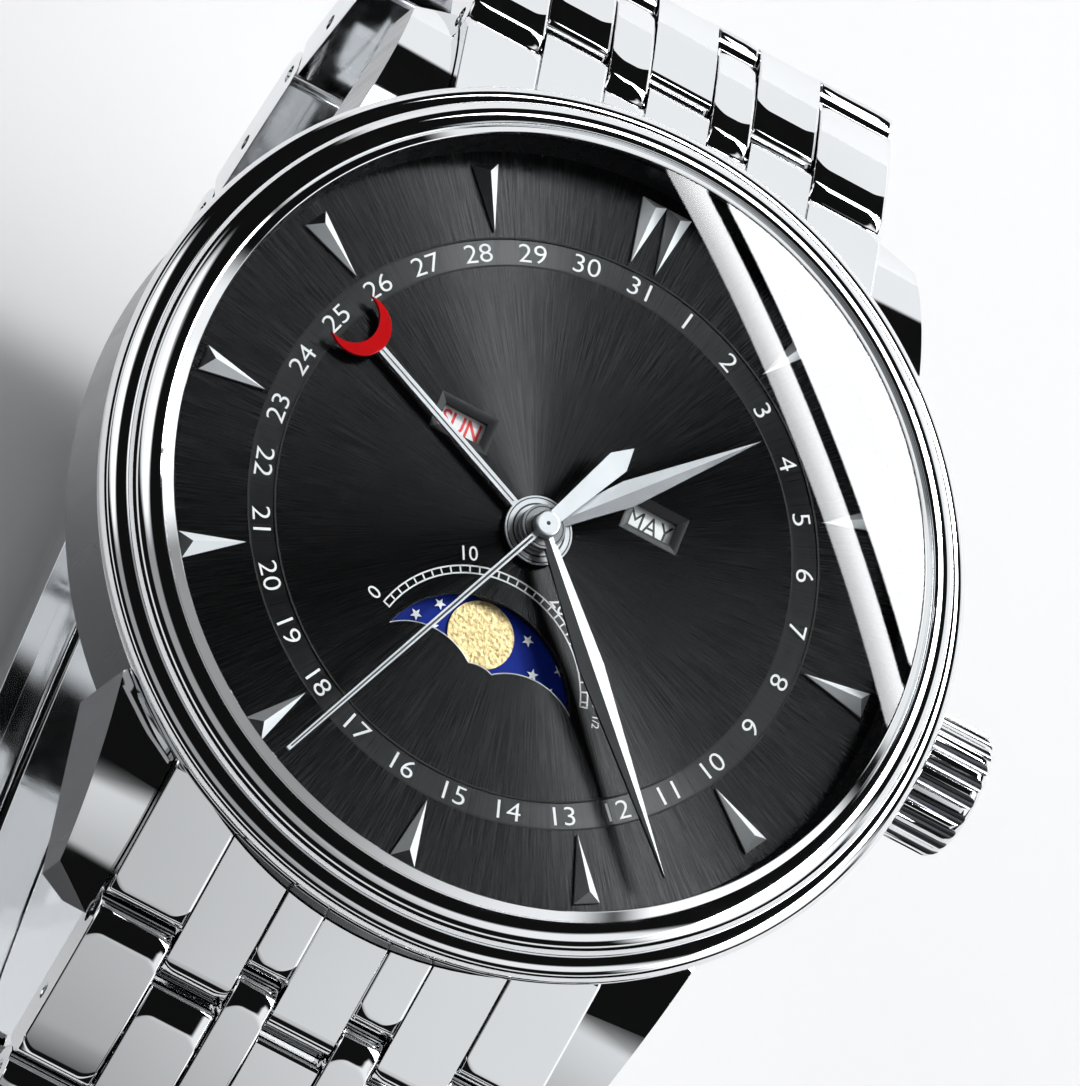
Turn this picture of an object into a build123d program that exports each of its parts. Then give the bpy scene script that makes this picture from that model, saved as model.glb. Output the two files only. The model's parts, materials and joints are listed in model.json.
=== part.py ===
"""Moon phase wristwatch: case, dial and hands, calendar movement, seven-row bracelet and folding clasp.

Frame: origin at the centre of the case back's flat face, +Z out of the dial, +X towards the crown
(3 o'clock), +Y towards 12 o'clock. Millimetres. The bracelet is in its worn shape, a closed loop.
"""
from build123d import *
from math import atan2, cos, degrees, hypot, radians, sin
import os

os.makedirs("parts", exist_ok=True)

# Clearances
running_gap = 0.05
face_gap = 0.1
safe_gap = 0.3
overrun = 1.0

# Heights of the case, measured from the back's flat face
dial_top = 7.6
dial_thickness = 0.4
case_foot_height = 0.2
case_flank_foot = 1.6
back_thickness = 1.0
back_boss_height = 2.4
bezel_drop = 1.1
glass_seat_rise = 1.32
glass_rim_thickness = 0.63
lip_rise = 2.2
dome_rise = 3.35
glass_thickness = 0.9

# Radii of the case
bezel_radius = 21.1
case_radius = 20.5
case_foot_radius = 18.8
bore_radius = 17.6
boss_radius = 16.6
boss_wall = 1.0
back_radius = 17.4
upstand_radius = 18.65
lip_radius = 18.3
glass_radius = 18.6
gasket_width = 0.13
dial_view_radius = 18.05
rehaut_top_radius = 18.4
seal_width = 0.45
seal_depth = 0.35
back_notch_count = 6
back_notch_width = 2.0
back_notch_length = 1.6
back_notch_depth = 0.35

# Steps of the bezel: a domed upper ring, a groove and a rounded lower ring
seat_ring_width = 0.4
seat_ring_drop = 0.12
dome_foot_radius = 20.12
dome_foot_rise = 1.05
dome_swell = 0.2
groove_rise = 0.85
groove_width = 0.2
lower_ring_swell = 0.16
lower_ring_foot_radius = 20.75

# Lugs
lug_gap_half = 11.1
lug_reach = 24.1
lug_outer_reach = 22.9
lug_tip_half = 13.4
lug_root_half = 14.9
lug_root_start = 14.0
lug_root_end = 14.8
lug_root_top = 6.3
lug_mid_reach = 20.5
lug_mid_top = 4.3
lug_tip_top = 1.3
lug_tip_foot = 0.15
lug_tip_lean = 0.5

# Crown and stem
crown_axis_height = 3.5
crown_radius = 3.15
crown_inner_x = 20.85
crown_outer_x = 24.5
crown_neck_radius = 2.7
crown_neck_length = 0.5
crown_rim_radius = 0.7
flute_count = 22
flute_radius = 0.34
tube_radius = 1.0
tube_bore_radius = 0.62
tube_inner_x = 17.75
tube_outer_x = 21.9
stem_radius = 0.55
stem_inner_x = 8.1
stem_outer_x = 23.4
stem_groove_x = 9.8
stem_groove_width = 0.45
stem_groove_radius = 0.32
pinion_radius = 0.65
pinion_start_x = 8.2
pinion_length = 1.1
lever_thickness = 0.35
lever_half_width = 0.9
lever_slot_half = 0.37
lever_foot = 0.6

# Dial openings and markers
track_inner_radius = 12.6
track_outer_radius = 13.95
track_depth = 0.06
window_x = 5.0
window_y = 3.2
window_width = 2.2
window_height = 1.1
window_bevel = 0.4
window_bevel_depth = 0.18
aperture_y = 8.86
aperture_radius = 4.98
aperture_corner_x = 4.72
aperture_corner_y = 7.27
hump_peak_x = 2.45
hump_peak_y = 6.5
hump_foot_x = 0.6
hump_foot_y = 7.23
hump_mid_y = 7.11
marker_tip_radius = 14.2
marker_base_radius = 17.4
marker_width = 1.25
marker_height = 0.62
marker_foot_height = 0.12
marker_ridge_run = 0.45
marker_count = 12
dial_foot_radius = 15.5
dial_foot_pin = 0.35
dial_foot_length = 1.0

# Hands, as heights over the dial and lengths from the centre
date_hand_rise = 0.3
hour_hand_rise = 0.62
minute_hand_rise = 0.92
seconds_hand_rise = 1.24
hand_plate = 0.14
hand_ridge = 0.1
seconds_plate = 0.12
hour_hand_length = 12.0
hour_hand_angle = 41.9
minute_hand_length = 16.95
minute_hand_angle = 138.0
hand_waist_share = 0.4
hand_width = 1.25
hand_root_width = 0.55
hub_radius = 1.05
hub_height = 0.2
seconds_hand_length = 17.2
seconds_hand_angle = 204.6
seconds_width = 0.3
seconds_tip_width = 0.2
counterweight_length = 5.95
counterweight_width = 1.1
counterweight_shoulder = 4.9
counterweight_root_width = 0.6
seconds_cap_radius = 0.62
seconds_cap_height = 0.42
date_hand_angle = 293.5
date_stem_width = 0.42
date_hub_radius = 1.65
crescent_radius = 1.5
crescent_reach = 12.35
crescent_hollow_radius = 1.35
crescent_hollow_shift = 0.6

# Coaxial tubes that carry the hands
seconds_arbor_radius = 0.2
minute_tube_radius = 0.42
hour_tube_radius = 0.66
date_tube_radius = 0.9

# Calendar discs under the dial
disc_gap = 0.12
disc_thickness = 0.25
calendar_disc_radius = 4.8
calendar_disc_x = 8.5
moon_disc_radius = 5.25
moon_radius = 1.62
moon_orbit = 3.29
moon_relief = 0.05
moon_angle = 97.7
disc_arbor_radius = 0.35
date_wheel_radius = 2.6
date_wheel_thickness = 0.15

# Movement plates
movement_radius = 13.4
ring_inner_radius = 13.45
main_plate_foot = 4.85
main_plate_top = 5.75
calendar_plate_foot = 6.3
calendar_plate_top = 6.7
bridge_foot = 2.35
bridge_top = 2.8
bridge_radius = 12.8
pillar_radius = 0.8
pillar_reach = 11.8
pillar_angles = (90, 200, 340)
arbor_radius = 0.2
pivot_overlap = 0.35

# Going train, from the barrel to the balance
barrel_reach = 6.3
barrel_angle = 150
barrel_foot = 3.9
barrel_top = 4.72
barrel_wall = 0.25
barrel_arbor_radius = 0.9
centre_pinion_radius = 0.85
centre_wheel_foot = 3.55
wheel_thickness = 0.14
third_reach = 4.8
third_angle = 330
third_pinion_radius = 0.55
third_wheel_foot = 3.16
pinion_height = 0.3
fourth_pinion_radius = 0.48
fourth_wheel_foot = 2.92
escape_reach = 4.5
escape_angle = 250
escape_pinion_radius = 0.38
escape_wheel_radius = 1.9
escape_tooth_count = 15
escape_wheel_foot = 3.4
balance_x = -4.8
balance_y = -7.6
balance_radius = 3.9
balance_rim_width = 0.45
balance_foot = 3.15
balance_height = 0.22
balance_hub_radius = 0.55
hairspring_radius = 2.0
hairspring_foot = 2.95
hairspring_height = 0.18
cock_foot_x = 0.4
cock_foot_y = -11.9
cock_radius = 1.7
pallet_share = 0.54
pallet_arm = 1.35
pallet_width = 0.35
pallet_thickness = 0.12
motion_reach = 3.0
motion_angle = 45
cannon_radius = 0.73
minute_wheel_foot = 5.85
minute_pinion_radius = 0.58
hour_wheel_foot = 6.08
motion_thickness = 0.12

# Rotor of the automatic winding
rotor_radius = 12.5
rotor_rim_width = 2.5
rotor_rim_foot = 1.25
rotor_plate_foot = 1.75
rotor_top = 2.05
rotor_hub_radius = 1.9
rotor_post_radius = 1.1
rotor_screw_radius = 1.6
rotor_screw_height = 0.2
screw_head_radius = 0.62
screw_head_height = 0.18
screw_shank_radius = 0.3
screw_length = 1.2
screw_slot_width = 0.16
screw_slot_depth = 0.08

# Bracelet links: seven rows, four of them joined with three that sit further out
row_widths = (3.9, 3.35, 2.15, 3.3, 2.15, 3.35, 3.9)
row_gap = 0.09
link_pitch = 8.4
link_half = 1.2
link_crown = 0.12
link_edge = 0.3
link_gap = 0.1
link_pin_radius = 0.45
fixing_pin_radius = 0.4
pin_inset = 0.6
first_pin_y = 24.05
first_pin_z = 1.55
end_link_slope = 30.0
end_link_start = 15.0
end_link_case_gap = 0.05
link_slopes = (36, 66, 92, 112, 132, 154)
spring_bar_y = 22.0
spring_bar_z = 2.45
spring_bar_radius = 0.75
spring_bar_tip_radius = 0.4
spring_bar_tip_length = 1.1

# Folding clasp
clasp_turn = 13.0
clasp_half_width = 10.0
clasp_plate = 0.9
clasp_wall = 1.0
clasp_wall_reach = 1.25
blade_rise = 0.05
blade_depth = 1.1
blade_floor = 0.3
blade_half_width = 7.4
blade_slot_half = 5.0
inner_blade_half = 4.85
inner_blade_depth = 0.65
clasp_pin_radius = 0.3
blade_eye_radius = 0.52
hinge_a_inset = 2.75
hinge_b_inset = 4.4
floor_inset = 1.0
cover_end_inset = 1.6
blade_tip_inset = 1.65
tongue_length = 0.65
tongue_inner = 1.85
tongue_outer = 3.6
button_y = -6.5
button_length = 4.6
button_height = 0.8
button_proud = 0.7
button_flange = 0.3

# Derived heights and radii
dial_bottom = dial_top - dial_thickness
bezel_seat = dial_top - bezel_drop
glass_seat = dial_top + glass_seat_rise
glass_shoulder = glass_seat + glass_rim_thickness
lip_top = dial_top + lip_rise
dome_top = dial_top + dome_rise
disc_top = dial_bottom - disc_gap
disc_foot = disc_top - disc_thickness
dial_radius = upstand_radius - running_gap
glass_bore = glass_radius + gasket_width
ring_recess_radius = aperture_y + moon_disc_radius + safe_gap
barrel_radius = barrel_reach - centre_pinion_radius - running_gap
centre_wheel_radius = third_reach - third_pinion_radius - running_gap
third_wheel_radius = third_reach - fourth_pinion_radius - running_gap
fourth_wheel_radius = escape_reach - escape_pinion_radius - running_gap
minute_wheel_radius = motion_reach - cannon_radius - running_gap
hour_wheel_radius = motion_reach - minute_pinion_radius - running_gap


def write_piece(piece, node):
    """Labels a finished piece and writes it as its own file."""
    piece.part.label = node
    export_step(piece.part, f"parts/{node}.step")


def write_group(pieces, node):
    """Writes separate solids that share a node."""
    group = Compound(label=node, children=pieces)
    export_step(group, f"parts/{node}.step")


def turned(outline):
    """A solid turned about the watch's centre line from (radius, height) points."""
    with BuildPart() as piece:
        with BuildSketch(Plane.XZ):
            with BuildLine():
                Polyline(*outline, close=True)
            make_face()
        revolve(axis=Axis.Z)
    return piece


# Case middle with its four lugs
with BuildPart() as lug:
    with BuildSketch(Plane.YZ.offset(lug_gap_half)):
        with BuildLine():
            top = ThreePointArc((lug_root_start, lug_root_top), (lug_mid_reach, lug_mid_top),
                                (lug_reach, lug_tip_top))
            Polyline(top @ 1, (lug_reach - lug_tip_lean, lug_tip_foot),
                     (lug_root_start, lug_tip_foot + lug_tip_lean), top @ 0)
        make_face()
    extrude(amount=lug_root_half - lug_gap_half)
    with BuildSketch(Plane.XY):
        with BuildLine():
            Polyline((lug_gap_half, lug_root_start), (lug_gap_half, lug_reach),
                     (lug_tip_half, lug_outer_reach), (lug_root_half, lug_root_end),
                     (lug_root_start, lug_root_start), close=True)
        make_face()
    extrude(amount=dial_top, mode=Mode.INTERSECT)

case_blank = turned([
    (back_radius + running_gap, case_foot_height), (case_foot_radius, case_foot_height),
    (case_radius, case_flank_foot), (case_radius, bezel_seat), (upstand_radius, bezel_seat),
    (upstand_radius, dial_bottom), (bore_radius, dial_bottom), (bore_radius, back_boss_height),
    (boss_radius, back_boss_height), (boss_radius, back_thickness),
    (back_radius + running_gap, back_thickness)])
with BuildPart() as case_middle:
    add(case_blank.part)
    for x_side in (1, -1):
        for y_side in (1, -1):
            corner = lug.part if x_side > 0 else lug.part.mirror(Plane.YZ)
            add(corner if y_side > 0 else corner.mirror(Plane.XZ))
    with BuildSketch(Plane.XY.offset(back_thickness)):
        Circle(boss_radius + seal_width)
        Circle(boss_radius + running_gap, mode=Mode.SUBTRACT)
    extrude(amount=seal_depth, mode=Mode.SUBTRACT)
    with BuildSketch(Plane.YZ.offset(boss_radius)):
        with Locations((0, crown_axis_height)):
            Circle(tube_radius)
    extrude(amount=case_radius - boss_radius + overrun, mode=Mode.SUBTRACT)
    with BuildSketch(Plane.YZ):
        with Locations((spring_bar_y, spring_bar_z), (-spring_bar_y, spring_bar_z)):
            Circle(spring_bar_tip_radius)
    extrude(amount=lug_gap_half + spring_bar_tip_length, both=True, mode=Mode.SUBTRACT)
write_piece(case_middle, "case_middle")

# Case back, screwed in, with notches for its key
back_blank = turned([
    (0, 0), (back_radius, 0), (back_radius, back_thickness),
    (boss_radius - running_gap, back_thickness), (boss_radius - running_gap, back_boss_height),
    (boss_radius - boss_wall, back_boss_height), (boss_radius - boss_wall, back_thickness),
    (0, back_thickness)])
with BuildPart() as case_back:
    add(back_blank.part)
    with BuildSketch(Plane.XY):
        with PolarLocations(back_radius - back_notch_length / 2, back_notch_count):
            Rectangle(back_notch_length + running_gap, back_notch_width)
    extrude(amount=back_notch_depth, mode=Mode.SUBTRACT)
write_piece(case_back, "case_back")

back_seal = turned([
    (boss_radius + running_gap, back_thickness), (boss_radius + seal_width, back_thickness),
    (boss_radius + seal_width, back_thickness + seal_depth),
    (boss_radius + running_gap, back_thickness + seal_depth)])
write_piece(back_seal, "case_back_gasket")

# Bezel: lip over the glass, seat ring, domed ring, groove and rounded lower ring
with BuildPart() as bezel:
    with BuildSketch(Plane.XZ):
        with BuildLine():
            seat_edge = (lip_radius + seat_ring_width, lip_top - seat_ring_drop / 2)
            dome_edge = (seat_edge[0], lip_top - seat_ring_drop)
            dome_foot = (dome_foot_radius, dial_top + dome_foot_rise)
            dome_mid = ((dome_edge[0] + dome_foot[0]) / 2 + dome_swell,
                        (dome_edge[1] + dome_foot[1]) / 2 + dome_swell)
            groove_inner = (dome_foot_radius, dial_top + groove_rise)
            groove_outer = (dome_foot_radius + groove_width, dial_top + groove_rise)
            ring_side = (bezel_radius, dial_top)
            ring_mid = ((groove_outer[0] + ring_side[0]) / 2 + lower_ring_swell,
                        (groove_outer[1] + ring_side[1]) / 2 + lower_ring_swell)
            ring_foot = (lower_ring_foot_radius, bezel_seat)
            ring_low = ((ring_side[0] + ring_foot[0]) / 2 + lower_ring_swell / 2,
                        (ring_side[1] + ring_foot[1]) / 2)
            Polyline((lip_radius, lip_top), seat_edge, dome_edge)
            ThreePointArc(dome_edge, dome_mid, dome_foot)
            Polyline(dome_foot, groove_inner, groove_outer)
            ThreePointArc(groove_outer, ring_mid, ring_side)
            ThreePointArc(ring_side, ring_low, ring_foot)
            Polyline(ring_foot, (upstand_radius, bezel_seat), (upstand_radius, glass_seat),
                     (glass_bore, glass_seat), (glass_bore, glass_shoulder),
                     (lip_radius, glass_shoulder), (lip_radius, lip_top))
        make_face()
    revolve(axis=Axis.Z)
write_piece(bezel, "bezel")



def on_dome(edge_radius, edge_height, top_height):
    """The point halfway out on a dome whose centre lies on the watch's centre line."""
    rise = top_height - edge_height
    ball = (edge_radius ** 2 + rise ** 2) / (2 * rise)
    out = edge_radius / 2
    return (out, top_height - ball + (ball ** 2 - out ** 2) ** 0.5)


# Domed glass and its seal
view_edge = lip_radius - gasket_width / 2
rim_inner = glass_radius - seat_ring_width
inner_top = dome_top - glass_thickness
with BuildPart() as crystal:
    with BuildSketch(Plane.XZ):
        with BuildLine():
            ThreePointArc((0, dome_top), on_dome(view_edge, lip_top, dome_top), (view_edge, lip_top))
            Polyline((view_edge, lip_top), (view_edge, glass_shoulder), (glass_radius, glass_shoulder),
                     (glass_radius, glass_seat), (rim_inner, glass_seat))
            ThreePointArc((rim_inner, glass_seat), on_dome(rim_inner, glass_seat, inner_top),
                          (0, inner_top))
            Line((0, inner_top), (0, dome_top))
        make_face()
    revolve(axis=Axis.Z)
write_piece(crystal, "crystal")

crystal_gasket = turned([
    (glass_radius, glass_seat), (glass_bore, glass_seat), (glass_bore, glass_shoulder),
    (glass_radius, glass_shoulder)])
write_piece(crystal_gasket, "crystal_gasket")

rehaut = turned([
    (dial_view_radius, dial_top), (upstand_radius, dial_top), (upstand_radius, glass_seat),
    (rehaut_top_radius, glass_seat)])
write_piece(rehaut, "rehaut_ring")

# Ring that holds the movement in the case
ring_blank = turned([
    (ring_inner_radius, back_boss_height), (bore_radius, back_boss_height),
    (bore_radius, dial_bottom), (ring_recess_radius, dial_bottom),
    (ring_recess_radius, calendar_plate_top), (ring_inner_radius, calendar_plate_top)])
with BuildPart() as movement_ring:
    add(ring_blank.part)
    with BuildSketch(Plane.YZ.offset(movement_radius - overrun)):
        with Locations((0, crown_axis_height)):
            Circle(tube_radius)
    extrude(amount=bore_radius - movement_radius + 2 * overrun, mode=Mode.SUBTRACT)
    with BuildSketch(Plane.XY.offset(dial_bottom)):
        with Locations((0, dial_foot_radius), (0, -dial_foot_radius)):
            Circle(dial_foot_pin)
    extrude(amount=-dial_foot_length, mode=Mode.SUBTRACT)
write_piece(movement_ring, "movement_ring")

# Crown, its tube, the winding stem and the setting lever
with BuildPart() as crown:
    with BuildSketch(Plane.XZ):
        with BuildLine():
            body_x = crown_inner_x + crown_neck_length
            rim_height = crown_axis_height + crown_radius
            Polyline((crown_inner_x, crown_axis_height),
                     (crown_inner_x, crown_axis_height + crown_neck_radius),
                     (body_x, rim_height), (crown_outer_x - crown_rim_radius, rim_height))
            RadiusArc((crown_outer_x - crown_rim_radius, rim_height),
                      (crown_outer_x, rim_height - crown_rim_radius), crown_rim_radius)
            Polyline((crown_outer_x, rim_height - crown_rim_radius),
                     (crown_outer_x, crown_axis_height), (crown_inner_x, crown_axis_height))
        make_face()
    revolve(axis=Axis((0, 0, crown_axis_height), (1, 0, 0)))
    with BuildSketch(Plane((body_x, 0, crown_axis_height), x_dir=(0, 1, 0), z_dir=(1, 0, 0))):
        with PolarLocations(crown_radius + flute_radius / 3, flute_count):
            Circle(flute_radius)
    extrude(amount=crown_outer_x - body_x + overrun, mode=Mode.SUBTRACT)
    with BuildSketch(Plane((crown_inner_x, 0, crown_axis_height), x_dir=(0, 1, 0), z_dir=(1, 0, 0))):
        Circle(tube_radius + face_gap)
    extrude(amount=tube_outer_x - crown_inner_x + face_gap, mode=Mode.SUBTRACT)
    with BuildSketch(Plane((crown_inner_x, 0, crown_axis_height), x_dir=(0, 1, 0), z_dir=(1, 0, 0))):
        Circle(stem_radius)
    extrude(amount=stem_outer_x - crown_inner_x, mode=Mode.SUBTRACT)
write_piece(crown, "crown")

with BuildPart() as crown_tube:
    with BuildSketch(Plane((tube_inner_x, 0, crown_axis_height), x_dir=(0, 1, 0), z_dir=(1, 0, 0))):
        Circle(tube_radius)
        Circle(tube_bore_radius, mode=Mode.SUBTRACT)
    extrude(amount=tube_outer_x - tube_inner_x)
write_piece(crown_tube, "crown_tube")

with BuildPart() as stem:
    with BuildSketch(Plane((stem_inner_x, 0, crown_axis_height), x_dir=(0, 1, 0), z_dir=(1, 0, 0))):
        Circle(stem_radius)
    extrude(amount=stem_outer_x - stem_inner_x)
    groove_start = stem_groove_x - stem_groove_width / 2
    with BuildSketch(Plane((groove_start, 0, crown_axis_height), x_dir=(0, 1, 0), z_dir=(1, 0, 0))):
        Circle(stem_radius + overrun)
        Circle(stem_groove_radius, mode=Mode.SUBTRACT)
    extrude(amount=stem_groove_width, mode=Mode.SUBTRACT)
    with BuildSketch(Plane((pinion_start_x, 0, crown_axis_height), x_dir=(0, 1, 0), z_dir=(1, 0, 0))):
        Circle(pinion_radius)
    extrude(amount=pinion_length)
write_piece(stem, "winding_stem")

with BuildPart() as setting_lever:
    lever_start = stem_groove_x - lever_thickness / 2
    lever_top = main_plate_foot - running_gap - crown_axis_height
    with BuildSketch(Plane((lever_start, 0, crown_axis_height), x_dir=(0, 1, 0), z_dir=(1, 0, 0))):
        with BuildLine():
            Polyline((-lever_half_width, -lever_foot), (-lever_slot_half, -lever_foot),
                     (-lever_slot_half, lever_slot_half), (lever_slot_half, lever_slot_half),
                     (lever_slot_half, -lever_foot), (lever_half_width, -lever_foot),
                     (lever_half_width, lever_top), (-lever_half_width, lever_top), close=True)
        make_face()
    extrude(amount=lever_thickness)
write_piece(setting_lever, "setting_lever")

# Dial: date track, two bevelled windows and the moon opening
with BuildPart() as dial:
    with BuildSketch(Plane.XY.offset(dial_bottom)):
        Circle(dial_radius)
        Circle(date_tube_radius + face_gap, mode=Mode.SUBTRACT)
        with Locations((-window_x, window_y), (window_x, window_y)):
            Rectangle(window_width, window_height, mode=Mode.SUBTRACT)
        with BuildLine(mode=Mode.PRIVATE) as moon_edge:
            left = (-aperture_corner_x, -aperture_corner_y)
            right = (aperture_corner_x, -aperture_corner_y)
            ThreePointArc(left, (0, aperture_radius - aperture_y), right)
            ThreePointArc(right, (hump_peak_x, -hump_peak_y), (hump_foot_x, -hump_foot_y))
            ThreePointArc((hump_foot_x, -hump_foot_y), (0, -hump_mid_y), (-hump_foot_x, -hump_foot_y))
            ThreePointArc((-hump_foot_x, -hump_foot_y), (-hump_peak_x, -hump_peak_y), left)
        make_face(moon_edge.line.edges(), mode=Mode.SUBTRACT)
    extrude(amount=dial_thickness)
    with BuildSketch(Plane.XY.offset(dial_top)):
        with Locations((-window_x, window_y), (window_x, window_y)):
            Rectangle(window_width + 2 * window_bevel, window_height + 2 * window_bevel)
    extrude(amount=-window_bevel_depth, taper=degrees(atan2(window_bevel, window_bevel_depth)),
            mode=Mode.SUBTRACT)
    with BuildSketch(Plane.XY.offset(dial_top)):
        Circle(track_outer_radius)
        Circle(track_inner_radius, mode=Mode.SUBTRACT)
    extrude(amount=-track_depth, mode=Mode.SUBTRACT)
    with BuildSketch(Plane.XY.offset(dial_bottom)):
        with Locations((0, dial_foot_radius), (0, -dial_foot_radius)):
            Circle(dial_foot_pin)
    extrude(amount=-dial_foot_length)
write_piece(dial, "dial")


def hour_marker(width):
    """A faceted hour marker on the Y axis: a long pyramid whose base faces the rim."""
    ridge_y = marker_base_radius - marker_ridge_run
    half = width / 2
    foot = dial_top
    shoulder = dial_top + marker_foot_height
    peak = dial_top + marker_height
    low = [(0, marker_tip_radius, foot), (half, marker_base_radius, foot),
           (-half, marker_base_radius, foot)]
    mid = [(x, y, shoulder) for x, y, z in low]
    top = (0, ridge_y, peak)
    faces = [Face(Wire(Polyline(*low, close=True).edges())),
             Face(Wire(Polyline(mid[0], mid[1], top, close=True).edges())),
             Face(Wire(Polyline(mid[1], mid[2], top, close=True).edges())),
             Face(Wire(Polyline(mid[2], mid[0], top, close=True).edges()))]
    for start, end in ((0, 1), (1, 2), (2, 0)):
        side = Polyline(low[start], low[end], mid[end], mid[start], close=True)
        faces.append(Face(Wire(side.edges())))
    return Solid(Shell(faces))


# Applied markers: one at each hour, and a pair side by side at 12
marker = hour_marker(marker_width)
with BuildPart() as hour_markers:
    for hour in range(1, marker_count):
        add(marker.rotate(Axis.Z, -360 / marker_count * hour))
    for side in (1, -1):
        pair_shift = marker_width / 2 + running_gap / 2
        add(marker.translate((side * pair_shift, 0, 0)))
write_piece(hour_markers, "hour_markers")


def hand_facets(length, width, root_width, foot):
    """A dauphine hand along +Y: two facets that meet in a ridge from the hub to the tip."""
    waist = length * hand_waist_share
    root = hub_radius / 2
    outline = [(-root_width / 2, root), (-width / 2, waist), (0, length), (width / 2, waist),
               (root_width / 2, root)]
    with BuildPart() as blade:
        with BuildSketch(Plane.XY.offset(foot)):
            with BuildLine():
                Polyline(*outline, close=True)
            make_face()
        extrude(amount=hand_plate + hand_ridge)
        half = width / 2
        for side in (1, -1):
            with BuildSketch(Plane.XZ.offset(-length)):
                with BuildLine():
                    Polyline((0, foot + hand_plate + hand_ridge),
                             (side * (half + overrun), foot + hand_plate + hand_ridge),
                             (side * (half + overrun), foot + hand_plate),
                             (side * half, foot + hand_plate), close=True)
                make_face()
            extrude(amount=length, mode=Mode.SUBTRACT)
    return blade


def faceted_hand(length, angle, foot, bore):
    """An hour or minute hand with its hub, turned to its time."""
    blade = hand_facets(length, hand_width, hand_root_width, foot)
    with BuildPart() as hand:
        add(blade.part)
        with BuildSketch(Plane.XY.offset(foot)):
            Circle(hub_radius)
        extrude(amount=hub_height)
        with BuildSketch(Plane.XY.offset(foot)):
            Circle(bore)
        extrude(amount=hub_height + hand_plate + hand_ridge, mode=Mode.SUBTRACT)
    hand.part = hand.part.rotate(Axis.Z, -angle)
    return hand


hour_foot = dial_top + hour_hand_rise
minute_foot = dial_top + minute_hand_rise
seconds_foot = dial_top + seconds_hand_rise
date_foot = dial_top + date_hand_rise
hour_hand = faceted_hand(hour_hand_length, hour_hand_angle, hour_foot, hour_tube_radius)
write_piece(hour_hand, "hour_hand")
minute_hand = faceted_hand(minute_hand_length, minute_hand_angle, minute_foot, minute_tube_radius)
write_piece(minute_hand, "minute_hand")

# Seconds hand: needle, pointed counterweight, cap and boss
with BuildPart() as seconds_hand:
    with BuildSketch(Plane.XY.offset(seconds_foot)):
        with BuildLine():
            half_tip = seconds_tip_width / 2
            half_root = seconds_width / 2
            half_weight = counterweight_width / 2
            half_neck = counterweight_root_width / 2
            Polyline((half_tip, seconds_hand_length), (half_root, 0), (half_neck, 0),
                     (half_weight, -counterweight_shoulder), (0, -counterweight_length),
                     (-half_weight, -counterweight_shoulder), (-half_neck, 0), (-half_root, 0),
                     (-half_tip, seconds_hand_length), close=True)
        make_face()
        Circle(seconds_cap_radius)
    extrude(amount=seconds_plate)
    with BuildSketch(Plane.XY.offset(seconds_foot)):
        Circle(seconds_cap_radius)
    extrude(amount=seconds_cap_height)
    fillet(seconds_hand.edges().filter_by(GeomType.CIRCLE).sort_by(Axis.Z)[-1], seconds_plate)
    with BuildSketch(Plane.XY.offset(seconds_foot)):
        Circle(seconds_arbor_radius)
    extrude(amount=seconds_plate, mode=Mode.SUBTRACT)
seconds_hand.part = seconds_hand.part.rotate(Axis.Z, -seconds_hand_angle)
write_piece(seconds_hand, "seconds_hand")

# Date hand: washer, stem and crescent, with its tube and wheel under the dial
with BuildPart() as date_hand:
    with BuildSketch(Plane.XY.offset(date_foot)):
        Circle(date_hub_radius)
        stem_run = crescent_reach - crescent_radius + crescent_hollow_shift
        with Locations((0, stem_run / 2)):
            Rectangle(date_stem_width, stem_run)
        Circle(hour_tube_radius + running_gap, mode=Mode.SUBTRACT)
    extrude(amount=hand_plate)
    with BuildSketch(Plane.XY.offset(date_foot)):
        with Locations((0, crescent_reach)):
            Circle(crescent_radius)
        with Locations((0, crescent_reach + crescent_hollow_shift)):
            Circle(crescent_hollow_radius, mode=Mode.SUBTRACT)
    extrude(amount=hand_plate + hand_ridge / 2)
    with BuildSketch(Plane.XY.offset(disc_foot)):
        Circle(date_tube_radius)
        Circle(hour_tube_radius + running_gap, mode=Mode.SUBTRACT)
    extrude(amount=date_foot - disc_foot)
    with BuildSketch(Plane.XY.offset(disc_foot)):
        Circle(date_wheel_radius)
        Circle(hour_tube_radius + running_gap, mode=Mode.SUBTRACT)
    extrude(amount=date_wheel_thickness)
date_hand.part = date_hand.part.rotate(Axis.Z, -date_hand_angle)
write_piece(date_hand, "date_hand")


def calendar_disc(x, y, radius):
    """A disc under the dial with the arbor that it turns on."""
    with BuildPart() as disc:
        with BuildSketch(Plane.XY.offset(disc_foot)):
            with Locations((x, y)):
                Circle(radius)
        extrude(amount=disc_thickness)
        with BuildSketch(Plane.XY.offset(calendar_plate_foot)):
            with Locations((x, y)):
                Circle(disc_arbor_radius)
        extrude(amount=disc_foot - calendar_plate_foot)
    return disc


day_disc = calendar_disc(-calendar_disc_x, window_y, calendar_disc_radius)
write_piece(day_disc, "day_disc")
month_disc = calendar_disc(calendar_disc_x, window_y, calendar_disc_radius)
write_piece(month_disc, "month_disc")

# Moon disc with two raised moons
moon_blank = calendar_disc(0, -aperture_y, moon_disc_radius)
with BuildPart() as moon_disc:
    add(moon_blank.part)
    with BuildSketch(Plane.XY.offset(disc_top)):
        with Locations((0, -aperture_y)):
            with PolarLocations(moon_orbit, 2, start_angle=moon_angle):
                Circle(moon_radius)
    extrude(amount=moon_relief)
write_piece(moon_disc, "moon_disc")


def place(reach, angle):
    """A point at a reach from the centre and an angle from +X, counter-clockwise."""
    return (reach * cos(radians(angle)), reach * sin(radians(angle)))


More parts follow.
